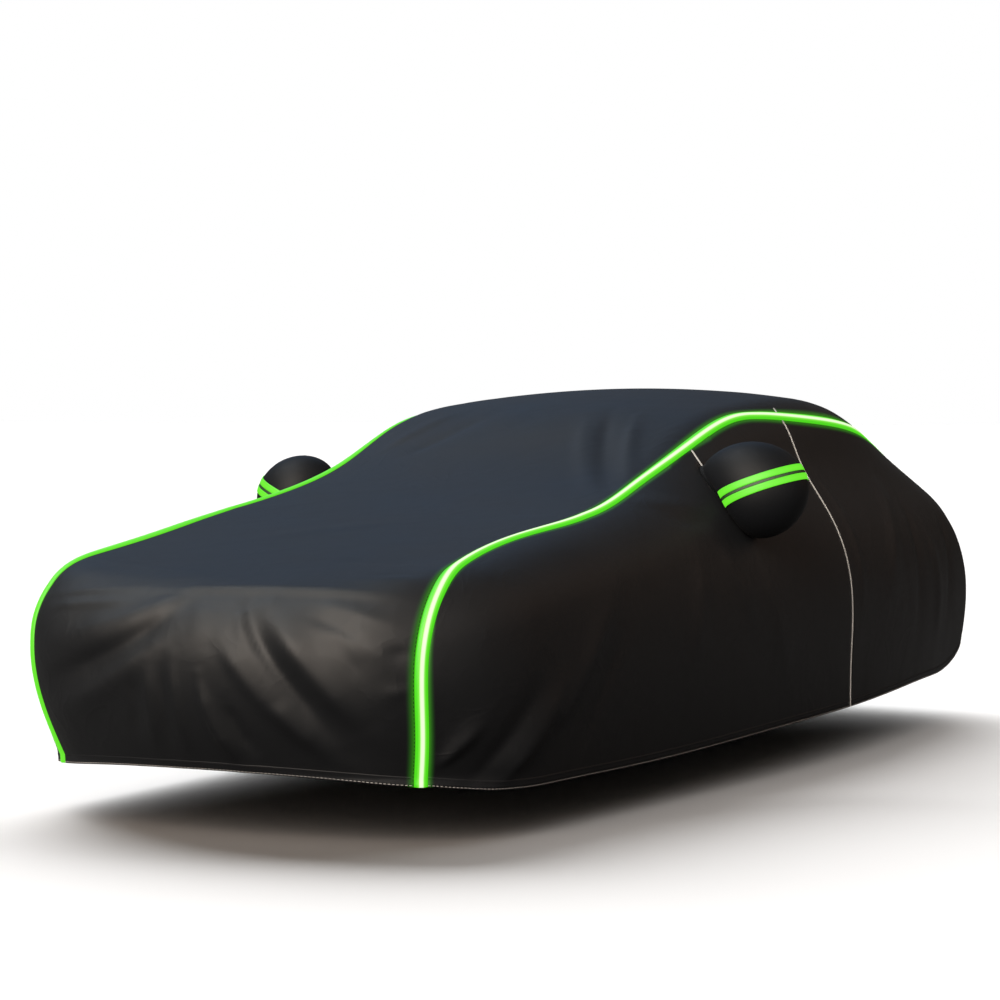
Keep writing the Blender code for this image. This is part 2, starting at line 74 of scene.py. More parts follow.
# Middle of the top line: distance along, height.
TOP_LINE = [
    (-2.60, 0.665), (-2.35, 0.741), (-2.00, 0.810), (-1.60, 0.874), (-1.20, 0.932),
    (-0.90, 0.993), (-0.55, 1.100), (-0.20, 1.245), (0.20, 1.319), (0.60, 1.340),
    (1.00, 1.320), (1.40, 1.235), (1.80, 1.088), (2.15, 0.934), (2.45, 0.769),
]
# Plan outline of the sides: distance along, half width.
HALF_WIDTH = [(-2.20, 0.854), (-1.50, 0.909), (-0.60, 0.949), (0.40, 0.963), (1.40, 0.896), (2.10, 0.796)]
# Lean of the sides towards the middle: height, how far in.
SIDE_LEAN = [(0.15, 0.050), (0.55, 0.012), (0.88, 0.100), (1.10, 0.230), (1.32, 0.241)]
# End faces at the middle: height, distance along.
NOSE_FACE = [(0.20, -2.330), (0.50, -2.442), (0.72, -2.418)]
TAIL_FACE = [(0.25, 2.323), (0.60, 2.373), (0.82, 2.261)]
# How far each face falls away at this distance from the middle.
CAMBER_AT, NOSE_CAMBER, TAIL_CAMBER, BONNET_CAMBER, ROOF_CAMBER = 0.70, 0.154, 0.111, 0.003, 0.060
BONNET_END, ROOF_START = -1.20, 0.20
FRONT_CORNER_RADIUS, REAR_CORNER_RADIUS, SHOULDER_RADIUS, ROUNDING_POWER = 0.333, 0.266, 0.184, 2.3

# The left long seam, from the front hem to the rear hem: out from the middle, along, height.
SEAM = [
    (0.630, -2.170, 0.175), (0.665, -2.220, 0.320), (0.682, -2.255, 0.450), (0.687, -2.255, 0.580),
    (0.688, -2.200, 0.700), (0.668, -2.060, 0.790), (0.636, -1.820, 0.835), (0.635, -1.610, 0.868),
    (0.665, -1.300, 0.910), (0.657, -1.030, 0.950), (0.622, -0.700, 1.020), (0.622, -0.460, 1.091),
    (0.635, -0.200, 1.183), (0.640, 0.080, 1.238), (0.667, 0.380, 1.240), (0.670, 0.700, 1.222),
    (0.634, 1.080, 1.186), (0.570, 1.500, 1.092), (0.553, 1.850, 0.962), (0.552, 2.100, 0.843),
    (0.564, 2.230, 0.680), (0.570, 2.260, 0.500), (0.555, 2.240, 0.330),
]
SEAM_BREAKS = (4, 14, 20)
# The middle of the front face, top and tail face: along, height.
MIDDLE = [
    (-2.330, 0.205), (-2.440, 0.450), (-2.420, 0.600), (-2.340, 0.720), (-2.100, 0.790), (-1.600, 0.874),
    (-1.100, 0.950), (-0.550, 1.100), (-0.150, 1.260), (0.200, 1.319), (0.600, 1.340), (1.000, 1.314),
    (1.500, 1.200), (2.000, 1.010), (2.250, 0.860), (2.340, 0.720), (2.370, 0.550), (2.320, 0.320),
]
MIDDLE_BREAKS = (3, 9, 15)

# Cells of the cloth along each leg of the seam, and from seam to seam.
ROWS_UP, COLUMNS_FRONT, COLUMNS_REAR, CELLS_ACROSS = 60, 194, 134, 96

# Folds of the front face: start out and height, bend, end, half width at start and end, height of fold.
FRONT_FOLDS = [
    (-0.05, 0.735, -0.26, 0.635, -0.64, 0.545, 0.030, 0.050, 0.012),
    (-0.05, 0.690, -0.29, 0.550, -0.64, 0.420, 0.026, 0.050, -0.018),
    (-0.12, 0.570, -0.31, 0.455, -0.60, 0.335, 0.030, 0.050, 0.013),
    (0.03, 0.700, 0.03, 0.640, 0.05, 0.560, 0.050, 0.070, 0.005),
    (0.150, 0.690, 0.165, 0.640, 0.195, 0.590, 0.010, 0.014, 0.004),
    (0.11, 0.600, 0.226, 0.448, 0.386, 0.268, 0.024, 0.045, 0.010),
    (0.16, 0.700, 0.320, 0.480, 0.47, 0.275, 0.022, 0.045, -0.017),
    (0.23, 0.700, 0.416, 0.488, 0.53, 0.335, 0.034, 0.050, 0.013),
    (0.42, 0.620, 0.50, 0.550, 0.58, 0.450, 0.020, 0.030, -0.004),
    (0.49, 0.650, 0.57, 0.585, 0.63, 0.500, 0.020, 0.034, 0.005),
    (0.04, 0.500, 0.07, 0.340, 0.13, 0.225, 0.012, 0.030, 0.014),
    (0.12, 0.420, 0.15, 0.330, 0.20, 0.240, 0.014, 0.026, -0.008),
    (-0.14, 0.540, -0.15, 0.380, -0.17, 0.250, 0.016, 0.022, 0.008),
    (-0.09, 0.550, -0.10, 0.380, -0.11, 0.250, 0.012, 0.016, -0.007),
    (-0.05, 0.550, -0.05, 0.380, -0.05, 0.240, 0.012, 0.018, 0.007),
    (-0.20, 0.500, -0.21, 0.380, -0.24, 0.270, 0.016, 0.022, -0.006),
    (0.27, 0.430, 0.33, 0.345, 0.43, 0.250, 0.024, 0.036, 0.008),
    (0.69, 0.570, 0.65, 0.570, 0.58, 0.560, 0.012, 0.030, -0.007),
    (0.68, 0.460, 0.64, 0.460, 0.57, 0.440, 0.012, 0.030, 0.006),
    (-0.19, 0.724, 0.27, 0.740, 0.66, 0.718, 0.011, 0.015, 0.0105),
    (-0.60, 0.705, -0.34, 0.722, -0.12, 0.730, 0.012, 0.018, 0.005),
    (-0.60, 0.660, -0.40, 0.682, -0.20, 0.695, 0.012, 0.018, 0.005),
    (0.36, 0.708, 0.50, 0.680, 0.65, 0.630, 0.014, 0.018, 0.005),
    (0.36, 0.670, 0.49, 0.630, 0.64, 0.560, 0.014, 0.020, -0.005),
]
# Folds of the top: start out and along, bend, end, half widths, height of fold.
TOP_FOLDS = [
    (0.17, -0.17, 0.34, -0.56, 0.61, -0.97, 0.030, 0.050, 0.006),
    (0.24, -0.13, 0.40, -0.53, 0.66, -0.97, 0.022, 0.040, -0.007),
    (0.36, -0.17, 0.47, -0.48, 0.64, -0.80, 0.020, 0.036, 0.008),
    (-0.50, -0.49, -0.43, -0.30, -0.34, -0.10, 0.024, 0.050, 0.007),
    (-0.38, -0.55, -0.28, -0.36, -0.18, -0.17, 0.024, 0.050, -0.006),
    (0.20, -1.99, 0.40, -1.99, 0.62, -1.96, 0.040, 0.070, -0.005),
    (-0.23, -1.75, -0.05, -1.55, 0.16, -1.36, 0.060, 0.080, 0.004),
    (-0.66, -2.02, -0.35, -2.16, 0.00, -2.20, 0.020, 0.040, 0.004),
    (0.45, -2.16, 0.55, -2.14, 0.66, -2.10, 0.016, 0.030, -0.004),
]
# Folds are worked out in steps and are steeper on one side. Each rises and dies away over these shares
# of its length, and keeps at least these shares of its height at its start and end.
FOLD_STEPS, FOLD_LEAN, FOLD_POWER = 12, 0.22, 1.8
FOLD_RISE, FOLD_FALL, LEFT_AT_START, LEFT_AT_END = 0.25, 0.35, 0.25, 0.15
# Small creases: spread of their slant, least and most half length and half width, their bow, and their
# least share of the full height.
CREASE_SPREAD, CREASE_LENGTH, CREASE_WIDTH = 0.45, (0.08, 0.26), (0.020, 0.050)
CREASE_BOW, LEAST_CREASE = 1.5, 0.3
# Folds die away over this distance from a seam. A face carries its folds by its normal's part forwards
# or up, this many times over and at most in full.
SEAM_FADE, FACING = 0.075, 1.5
# Where the form's squared slope is less than this, points are brought onto it by shorter steps.
LEAST_SLOPE = 0.05
# A place inside the cover, by which the outer side of its cloths is told.
INSIDE = np.array([0, 0, 0.6])


def smooth_line(table, at):
    """Natural cubic spline through a table's two columns, read at the given places."""
    knots, values = np.array(table, float).T
    steps = np.diff(knots)
    count = len(knots)
    inner = np.arange(1, count - 1)
    matrix = np.eye(count)
    matrix[inner, inner - 1] = steps[:-1]
    matrix[inner, inner] = 2 * (steps[:-1] + steps[1:])
    matrix[inner, inner + 1] = steps[1:]
    right = np.zeros(count)
    right[1:-1] = 6 * np.diff(np.diff(values) / steps)
    bend = np.linalg.solve(matrix, right)
    at = np.clip(at, knots[0], knots[-1])
    i = np.clip(np.searchsorted(knots, at) - 1, 0, count - 2)
    near = (knots[i + 1] - at) / steps[i]
    far = 1 - near
    curve = (near ** 3 - near) * bend[i] + (far ** 3 - far) * bend[i + 1]
    return near * values[i] + far * values[i + 1] + curve * steps[i] ** 2 / 6


def rounded_meet(first, second, radius):
    """Outer of two signed distances: past the edge both count, as the root of their summed powers."""
    a = np.maximum(first + radius, 0)
    b = np.maximum(second + radius, 0)
    edge = (a ** ROUNDING_POWER + b ** ROUNDING_POWER) ** (1 / ROUNDING_POWER) - radius
    return np.where(a + b > 0, edge, np.maximum(first, second))


def outside_body(points):
    """How far points stand outside the covered body: the rounded meeting of its top, sides and ends,
    each a spline line with a fall-away that grows with the square of the distance from the middle."""
    out, along, up = np.abs(points[..., 0]), points[..., 1], points[..., 2]
    step = 0.02
    top = smooth_line(TOP_LINE, along)
    slope = (smooth_line(TOP_LINE, along + step) - top) / step
    share = np.clip((along - BONNET_END) / (ROOF_START - BONNET_END), 0, 1)
    bow = (out / CAMBER_AT) ** 2
    camber = BONNET_CAMBER + (ROOF_CAMBER - BONNET_CAMBER) * share
    above = (up - top + camber * bow) / np.sqrt(1 + slope ** 2)
    beside = out - smooth_line(HALF_WIDTH, along) + smooth_line(SIDE_LEAN, up)
    ahead = smooth_line(NOSE_FACE, up) + NOSE_CAMBER * bow - along
    behind = along - smooth_line(TAIL_FACE, up) + TAIL_CAMBER * bow
    around = rounded_meet(rounded_meet(beside, ahead, FRONT_CORNER_RADIUS), behind, REAR_CORNER_RADIUS)
    return rounded_meet(around, above, SHOULDER_RADIUS)


def unit(vectors):
    """Each direction divided by its own length."""
    return vectors / np.linalg.norm(vectors, axis=-1, keepdims=True)


def steepest(points):
    """Gradient of outside_body by central differences."""
    step = 0.002
    parts = [outside_body(points + axis) - outside_body(points - axis) for axis in np.eye(3) * step]
    return np.stack(parts, -1) / (2 * step)


def outward(points):
    """Unit normal of the covered body's form."""
    return unit(steepest(points))


def settle(points, free=(1, 1, 1), rounds=10):
    """Brings points onto the form by Newton steps down its gradient, along the free axes only."""
    points = np.array(points, float)
    for _ in range(rounds):
        slope = steepest(points) * np.array(free, float)
        size = np.maximum((slope ** 2).sum(-1, keepdims=True), LEAST_SLOPE)
        points = points - outside_body(points)[..., None] * slope / size
    return points


def legs_along(rows, breaks, counts):
    """Spline through the rows by distance run, in even steps leg by leg between the break rows."""
    rows = np.array(rows, float)
    run = np.concatenate([[0], np.cumsum(np.linalg.norm(np.diff(rows, axis=0), axis=1))])
    ends = run[[0, *breaks, len(rows) - 1]]
    legs = [np.linspace(ends[i], ends[i + 1], count + 1)[1:] for i, count in enumerate(counts)]
    places = np.concatenate([[0.0], *legs])
    return np.stack([smooth_line(np.stack([run, rows[:, k]], 1), places) for k in range(rows.shape[1])], 1)


def sideways(line):
    """Unit direction across a line, in the surface and away from the middle of the cover."""
    across = unit(np.cross(np.gradient(line, axis=0), outward(line)))
    return across * np.where((across[:, :1] * line[:, :1]).sum() > 0, 1, -1)


def fold_relief(first, second, table):
    """Soft ridges and troughs. Each runs on a curve through its start, bend and end, and is a bell across
    it, a little steeper on one side, that widens along the curve and dies away towards both ends."""
    total = np.zeros_like(first)
    t = np.linspace(0, 1, FOLD_STEPS + 1)
    for a0, b0, a1, b1, a2, b2, width0, width1, height in table:
        control_a, control_b = 2 * a1 - (a0 + a2) / 2, 2 * b1 - (b0 + b2) / 2
        line_a = (1 - t) ** 2 * a0 + 2 * t * (1 - t) * control_a + t ** 2 * a2
        line_b = (1 - t) ** 2 * b0 + 2 * t * (1 - t) * control_b + t ** 2 * b2
        best = np.full_like(first, 9.0)
        place = np.zeros_like(first)
        side = np.ones_like(first)
        for k in range(FOLD_STEPS):
            run_a, run_b = line_a[k + 1] - line_a[k], line_b[k + 1] - line_b[k]
            off_a, off_b = first - line_a[k], second - line_b[k]
            share = np.clip((off_a * run_a + off_b * run_b) / (run_a ** 2 + run_b ** 2), 0, 1)
            gap = np.hypot(off_a - share * run_a, off_b - share * run_b)
            nearer = gap < best
            best = np.where(nearer, gap, best)
            place = np.where(nearer, (k + share) / FOLD_STEPS, place)
            side = np.where(nearer, np.sign(run_a * off_b - run_b * off_a), side)
        width = (width0 + (width1 - width0) * place) * (1 + FOLD_LEAN * side)
        ends = np.clip(place / FOLD_RISE, LEFT_AT_START, 1)
        ends = ends * np.clip((1 - place) / FOLD_FALL, LEFT_AT_END, 1)
        total += height * ends * np.exp(-np.abs(best / width) ** FOLD_POWER)
    return total


def fade(distance, full=SEAM_FADE):
    """Nought at a seam, rising smoothly to one at the full distance from it."""
    share = np.clip(distance / full, 0, 1)
    return share * share * (3 - 2 * share)


def small_creases(first, second, seed, count, span_a, span_b, slant, height):
    """Many short fine creases at seeded places, each a narrow bell along a short line of its own slant."""
    rng = np.random.default_rng(seed)
    total = np.zeros_like(first)
    for _ in range(count):
        a, b = rng.uniform(*span_a), rng.uniform(*span_b)
        turn = slant + rng.normal(0, CREASE_SPREAD)
        length, width = rng.uniform(*CREASE_LENGTH), rng.uniform(*CREASE_WIDTH)
        off_a, off_b = first - a, second - b
        along = off_a * math.cos(turn) + off_b * math.sin(turn)
        across = off_b * math.cos(turn) - off_a * math.sin(turn) + along ** 2 * rng.normal(0, CREASE_BOW)
        bell = np.exp(-(across / width) ** 2 - (along / length) ** 2)
        total += rng.choice([-1, 1]) * height * rng.uniform(LEAST_CREASE, 1) * bell
    return total


def run_lengths(points, axis):
    """Distance run along one direction of a grid of points, from nought."""
    steps = np.linalg.norm(np.diff(points, axis=axis), axis=-1)
    start = np.zeros_like(np.take(steps, [0], axis=axis))
    return np.concatenate([start, np.cumsum(steps, axis=axis)], axis=axis)


def new_piece(name, verts, faces, *paints):
    """A smooth piece of the given points and faces, with its materials."""
    mesh = bpy.data.meshes.new(name)
    mesh.from_pydata(verts.tolist(), [], faces)
    mesh.shade_smooth()
    for paint in paints:
        mesh.materials.append(paint)
    piece = bpy.data.objects.new(name, mesh)
    bpy.context.scene.collection.objects.link(piece)
    return piece


def lay_grid(name, points, paint, thickness, loop=False, tip=None, marks=None, away=None, hole=None,
             back=None):
    """A grid of points made one sheet, facing out. Its map is in metres along the two directions of the
    grid, and marks are named values at the points. A loop joins the last column to the first, a tip closes
    the last row, and a hole leaves out a block of cells by its first and last row and column. Solidify
    gives the thickness inwards, with the back's own material."""
    rows, columns = points.shape[:2]
    shown = np.concatenate([points, points[:, :1]], 1) if loop else points
    across, down = run_lengths(shown, 1), run_lengths(shown, 0)
    across = across - across[:, -1:] / 2
    down = np.broadcast_to(down.mean(1, keepdims=True), across.shape)
    chart = np.stack([across.ravel(), down.ravel()], 1)
    verts = points.reshape(-1, 3) - ORIGIN
    index = np.arange(rows * columns).reshape(rows, columns)
    wrap = np.concatenate([index, index[:, :1]], 1) if loop else index
    place = np.arange(across.size).reshape(across.shape)
    corner = [(slice(0, -1), slice(0, -1)), (slice(0, -1), slice(1, None)),
              (slice(1, None), slice(1, None)), (slice(1, None), slice(0, -1))]
    kept = np.ones((rows - 1, wrap.shape[1] - 1), bool)
    if hole is not None:
        kept[hole[0]:hole[1], hole[2]:hole[3]] = False
    quads = np.stack([wrap[c] for c in corner], -1)[kept]
    spots = np.stack([place[c] for c in corner], -1)[kept]
    marks = {mark: np.asarray(values, float).ravel() for mark, values in (marks or {}).items()}
    if hole is not None:
        used, quads = np.unique(quads, return_inverse=True)
        quads = quads.reshape(-1, 4)
        verts = verts[used]
        marks = {mark: values[used] for mark, values in marks.items()}
    facing = np.cross(verts[quads[:, 2]] - verts[quads[:, 0]], verts[quads[:, 3]] - verts[quads[:, 1]])
    if away is None:
        away = verts[quads].mean(1) - (verts.mean(0) if loop else INSIDE - ORIGIN)
    order = -1 if (facing * away).sum() < 0 else 1
    faces, maps = quads[:, ::order].tolist(), chart[spots[:, ::order].ravel()]
    if tip is not None:
        verts = np.concatenate([verts, [tip - ORIGIN]])
        fan = np.stack([wrap[-1, :-1], wrap[-1, 1:], np.full(columns, len(verts) - 1)], 1)
        rim = chart[place[-1]]
        top = np.broadcast_to(rim.mean(0) + [0, 0.01], (columns, 2))
        corners = np.stack([rim[:-1], rim[1:], top], 1)
        faces += fan[:, ::order].tolist()
        maps = np.concatenate([maps, corners[:, ::order].reshape(-1, 2)])
    piece = new_piece(name, verts, faces, paint, back or paint)
    piece.data.uv_layers.new(name="cut").data.foreach_set("uv", maps.ravel())
    for mark, values in marks.items():
        values = np.append(values, values[-1:]) if tip is not None else values
        piece.data.attributes.new(mark, "FLOAT", "POINT").data.foreach_set("value", values)
    skin = piece.modifiers.new("cloth thickness", "SOLIDIFY")
    skin.material_offset = 1
    skin.thickness = thickness
    skin.offset = -1
    skin.use_even_offset = True
    skin.use_quality_normals = True
    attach(piece, "root")
    return piece


def feed(tree, node, feeds):
    """Feeds a node's inputs: another node's socket is linked, and a plain value is set."""
    for name, value in feeds.items():
        if isinstance(value, bpy.types.NodeSocket):
            tree.links.new(value, node.inputs[name])
        else:
            node.inputs[name].default_value = value


def add_node(tree, kind, feeds=None, **settings):
    """A node with its settings, fed with what it is given."""
    made = tree.nodes.new(kind)
    for name, value in settings.items():
        setattr(made, name, value)
    feed(tree, made, feeds or {})
    return made


def new_group(name, inputs, output):
    """An empty shader node group, with its inputs by name and kind, and one plain value put out."""
    tree = bpy.data.node_groups.new(name, "ShaderNodeTree")
    for label, kind in inputs.items():
        tree.interface.new_socket(label, in_out="INPUT", socket_type=kind)
    tree.interface.new_socket(output, in_out="OUTPUT", socket_type="NodeSocketFloat")
    return tree, tree.nodes.new("NodeGroupInput"), tree.nodes.new("NodeGroupOutput")


def maths(tree, operation, first, second=0.0, third=0.0):
    """One sum on sockets or values."""
    return add_node(tree, "ShaderNodeMath", {0: first, 1: second, 2: third}, operation=operation).outputs[0]


def noise(tree, spot, scale, detail, **others):
    """Soft noise over a map, from nought to one."""
    return add_node(tree, "ShaderNodeTexNoise", {
        "Vector": spot, "Scale": scale, "Detail": detail, **others}).outputs[0]


def spread(tree, value, start, end, **settings):
    """A value brought evenly from one pair of numbers onto another."""
    return add_node(tree, "ShaderNodeMapRange", {
        "Value": value, "From Min": start[0], "From Max": start[1], "To Min": end[0], "To Max": end[1]},
        **settings).outputs[0]


def blend(tree, share, first, second):
    """A colour between two others, by its share of the second."""
    return add_node(tree, "ShaderNodeMix", {"Factor": share, "A": first, "B": second},
                    data_type="RGBA").outputs["Result"]


def raised(tree, height, strength, distance, **below):
    """Normal of a surface with a relief of this height, over the normal below it."""
    return add_node(tree, "ShaderNodeBump", {
        "Height": height, "Strength": strength, "Distance": distance, **below}).outputs[0]


def seen_by_camera(tree):
    """One where the camera looks straight at a place, and nought for light that goes on from it."""
    return add_node(tree, "ShaderNodeLightPath").outputs["Is Camera Ray"]


def new_paint(name, by_cut=True):
    """A new material: itself, its node tree, its shader and its map, which is in metres over the cut
    cloth or else in the room."""
    made = bpy.data.materials.new(name)
    made.use_nodes = True
    tree = made.node_tree
    if by_cut:
        spot = add_node(tree, "ShaderNodeUVMap", uv_map="cut").outputs[0]
    else:
        spot = add_node(tree, "ShaderNodeTexCoord").outputs["Object"]
    return made, tree, tree.nodes["Principled BSDF"], spot


def weave_group():
    """Plain weave: the product of a sine across and a sine along, so threads pass over and under."""
    tree, given, out = new_group(
        "plain_weave", {"Map": "NodeSocketVector", "Threads": "NodeSocketFloat"}, "Height")
    parts = add_node(tree, "ShaderNodeSeparateXYZ", {0: given.outputs["Map"]})
    beat = maths(tree, "MULTIPLY", given.outputs["Threads"], math.pi)
    across = maths(tree, "SINE", maths(tree, "MULTIPLY", parts.outputs[0], beat))
    along = maths(tree, "SINE", maths(tree, "MULTIPLY", parts.outputs[1], beat))
    feed(tree, out, {"Height": maths(tree, "MULTIPLY", across, along)})
    return tree


def crumple_group():
    """Handling creases: thin ridges where a soft noise crosses its middle, in patches of a wider noise."""
    tree, given, out = new_group(
        "crumple", {"Map": "NodeSocketVector", "Scale": "NodeSocketFloat"}, "Height")
    fine = noise(tree, given.outputs["Map"], given.outputs["Scale"], 2.0, Distortion=0.6)
    apart = maths(tree, "ABSOLUTE", maths(tree, "SUBTRACT", fine, 0.5))
    ridge = maths(tree, "SUBTRACT", 1.0, maths(tree, "MULTIPLY", apart, 7.0))
    ridge = maths(tree, "MAXIMUM", ridge, 0.0)
    wide = noise(tree, given.outputs["Map"], 1.7, 1.0)
    patch = maths(tree, "MULTIPLY_ADD", wide, 3.0, -1.0)
    patch = maths(tree, "MINIMUM", maths(tree, "MAXIMUM", patch, 0.0), 1.0)
    feed(tree, out, {"Height": maths(tree, "MULTIPLY", maths(tree, "MULTIPLY", ridge, ridge), patch)})
    return tree


PLAIN_WEAVE = weave_group()
CRUMPLE = crumple_group()


def woven(tree, spot, threads):
    """Height of the plain weave over a map, with its number of threads to the metre."""
    return add_node(tree, "ShaderNodeGroup", {"Map": spot, "Threads": threads},
                    node_tree=PLAIN_WEAVE).outputs["Height"]


BLACK = (0, 0, 0, 1)
# The cloth's colour, and the paler one that it takes on the hem band and at random places.
CLOTH_DEEP, CLOTH_PALER = (0.0023, 0.0027, 0.0034, 1), (0.0041, 0.0046, 0.0056, 1)
# Where the turned-up hem ends, as distances from its edge.
HEM_STEP = (0.027, 0.030)
# Painted glow of the shining tape on the cloth, a green emission that only the camera sees: over which
# distances from the seam it dies away, and how fast.
GLOW_GREEN, GLOW_STRENGTH, GLOW_REACH, GLOW_POWER = (0.10, 0.80, 0.015, 1), 0.5, (0.014, 0.042), 2.2


def cloth_paint(name, glowing, shine=0.20):
    """Coated polyester: near black with a satin sheen, a fine weave, handling creases and a doubled hem,
    paler on the hem band and at random places.
    Where glowing, a painted glow lies on the cloth beside the shining tape: a green emission that only the
    camera sees, by each point's distance from the seam."""
    made, tree, shader, spot = new_paint(name)
    crumple = add_node(tree, "ShaderNodeGroup", {"Map": spot, "Scale": 7.0}, node_tree=CRUMPLE)
    from_hem = add_node(tree, "ShaderNodeAttribute", attribute_name="from_hem").outputs["Fac"]
    turned = spread(tree, from_hem, HEM_STEP, (1.0, 0.0), interpolation_type="SMOOTHSTEP")
    normal = raised(tree, crumple.outputs["Height"], 0.16, 0.004)
    normal = raised(tree, turned, 0.8, 0.002, Normal=normal)
    normal = raised(tree, woven(tree, spot, 620.0), 0.25, 0.0003, Normal=normal)
    tone = noise(tree, spot, 3.0, 4.0)
    # Paler on the turned-up hem band and at random places by a soft noise.
    lift = maths(tree, "MULTIPLY_ADD", turned, 0.35, maths(tree, "MULTIPLY", tone, 0.7))
    feed(tree, shader, {
        "Normal": normal, "Base Color": blend(tree, lift, CLOTH_DEEP, CLOTH_PALER),
        "Roughness": spread(tree, tone, (0.0, 1.0), (0.46, 0.58)), "Specular IOR Level": shine,
        "Sheen Weight": 0.006, "Sheen Roughness": 0.45})
    # Painted glow: green emission near the seam, seen only by the camera, stands in for the tape's light on
    # the cloth.
    if glowing:
        from_tape = add_node(tree, "ShaderNodeAttribute", attribute_name="from_seam").outputs["Fac"]
        near = maths(tree, "POWER", spread(tree, from_tape, GLOW_REACH, (1.0, 0.0)), GLOW_POWER)
        near = maths(tree, "MULTIPLY", near, seen_by_camera(tree))
        feed(tree, shader, {
            "Emission Color": blend(tree, near, BLACK, GLOW_GREEN), "Emission Strength": GLOW_STRENGTH})
    return made


def lining_paint(name, deep, worn):
    """The inner side of the cloth, without its coating: matt and a little paler, uneven by a soft noise."""
    made, tree, shader, spot = new_paint(name, by_cut=False)
    tone = noise(tree, spot, 6.0, 4.0)
    feed(tree, shader, {
        "Base Color": blend(tree, tone, deep, worn), "Normal": raised(tree, tone, 0.2, 0.002),
        "Roughness": 0.85, "Specular IOR Level": 0.15})
    return made


ORIGIN = np.array([
    0.0, ROOF_REST_ALONG, smooth_line(TOP_LINE, np.array([ROOF_REST_ALONG]))[0] - ROOF_REST_DEPTH])
MIRROR = np.array([-1.0, 1.0, 1.0])
LEGS = (ROWS_UP, COLUMNS_FRONT, COLUMNS_REAR, ROWS_UP)
seam = settle(legs_along(SEAM, SEAM_BREAKS, LEGS))
seam_across = sideways(seam)
middle = settle(np.insert(legs_along(MIDDLE, MIDDLE_BREAKS, LEGS), 0, 0, 1), (0, 1, 1))

edge = settle(seam - (TAPE_WIDTH / 2 + SEAM_GAP) * seam_across)
share = np.linspace(-1, 1, CELLS_ACROSS + 1)
bow = (share ** 2)[None, :, None]
rough_lay = middle[:, None, :] * (1 - bow) + edge[:, None, :] * bow
rough_lay[..., 0] = edge[:, None, 0] * share[None, :]
centre = np.where(bow == 1, rough_lay, settle(rough_lay, (0, 1, 1)))
centre_normal = outward(centre)
front_relief = fold_relief(centre[..., 0], centre[..., 2], FRONT_FOLDS)
front_relief += small_creases(centre[..., 0], centre[..., 2], seed=11, count=26, span_a=(-0.7, 0.7),
                              span_b=(0.2, 0.7), slant=1.6, height=0.0012)
front_relief *= np.clip(-FACING * centre_normal[..., 1], 0, 1)
top_relief = fold_relief(centre[..., 0], centre[..., 1], TOP_FOLDS)
top_relief += small_creases(centre[..., 0], centre[..., 1], seed=12, count=60, span_a=(-0.65, 0.65),
                            span_b=(-2.2, 2.2), slant=0.3, height=0.0008)
top_relief *= np.clip(FACING * centre_normal[..., 2], 0, 1)
from_left = (1 - share)[None, :] * edge[:, None, 0] + TAPE_WIDTH / 2
from_seam = np.minimum(from_left, (1 + share)[None, :] * edge[:, None, 0] + TAPE_WIDTH / 2)
centre = centre + centre_normal * ((front_relief + top_relief) * fade(from_seam))[..., None]
centre_down = run_lengths(centre, 0)
centre_hem = np.minimum(centre_down, centre_down[-1:] - centre_down)

centre_cloth = cloth_paint("centre_cloth", True)
inner_side = lining_paint("inner_side_of_cloth", (0.010, 0.0105, 0.0115, 1), (0.020, 0.021, 0.023, 1))
centre_panel = lay_grid("centre_panel_cloth", centre, centre_cloth, CLOTH, back=inner_side,
                        marks={"from_seam": from_left, "from_hem": centre_hem})
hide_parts("centre_panel")

# ======================================================================================
# Side panels
# The same cloth, hung from the long seams to the side hems, a front and a rear panel on each
# side. A zip joins them on the left and a plain seam on the right. Each front panel has a hole
# where its mirror pocket is sewn in.
# ======================================================================================

# The left hem, from the foot of the front seam to the foot of the rear seam: out, along, height.
SIDE_HEM = [
    (0.630, -2.170, 0.175), (0.720, -2.080, 0.162), (0.790, -1.950, 0.152), (0.843, -1.740, 0.151),
    (0.874, -1.240, 0.152), (0.897, -0.700, 0.160), (0.915, -0.200, 0.173), (0.918, 0.440, 0.188),
    (0.900, 0.910, 0.203), (0.850, 1.400, 0.215), (0.800, 1.860, 0.250), (0.770, 2.030, 0.300),
    (0.690, 2.160, 0.325), (0.555, 2.240, 0.330),
]
HEM_ZIP_ROW = 7
# The zip down the left side: out, along, height.
ZIP_LINE = [(0.888, 0.380, 1.240), (0.888, 0.380, 0.900), (0.888, 0.378, 0.600), (0.888, 0.385, 0.350),
            (0.888, 0.440, 0.188)]
ZIP_WIDTH = 0.012
# A pocket's middle out from the cover's middle, its half sizes, and its neck as a share of them.
POCKET_OUT, POCKET_HALF, POCKET_NECK = 0.888, (0.192, 0.140, 0.163), 0.50
# The hole for a pocket: half its block of cells, and how far cells are drawn and kept calm about it.
HOLE_CELLS, HOLE_PULL, HOLE_CALM = 5, 1.4, 1.5

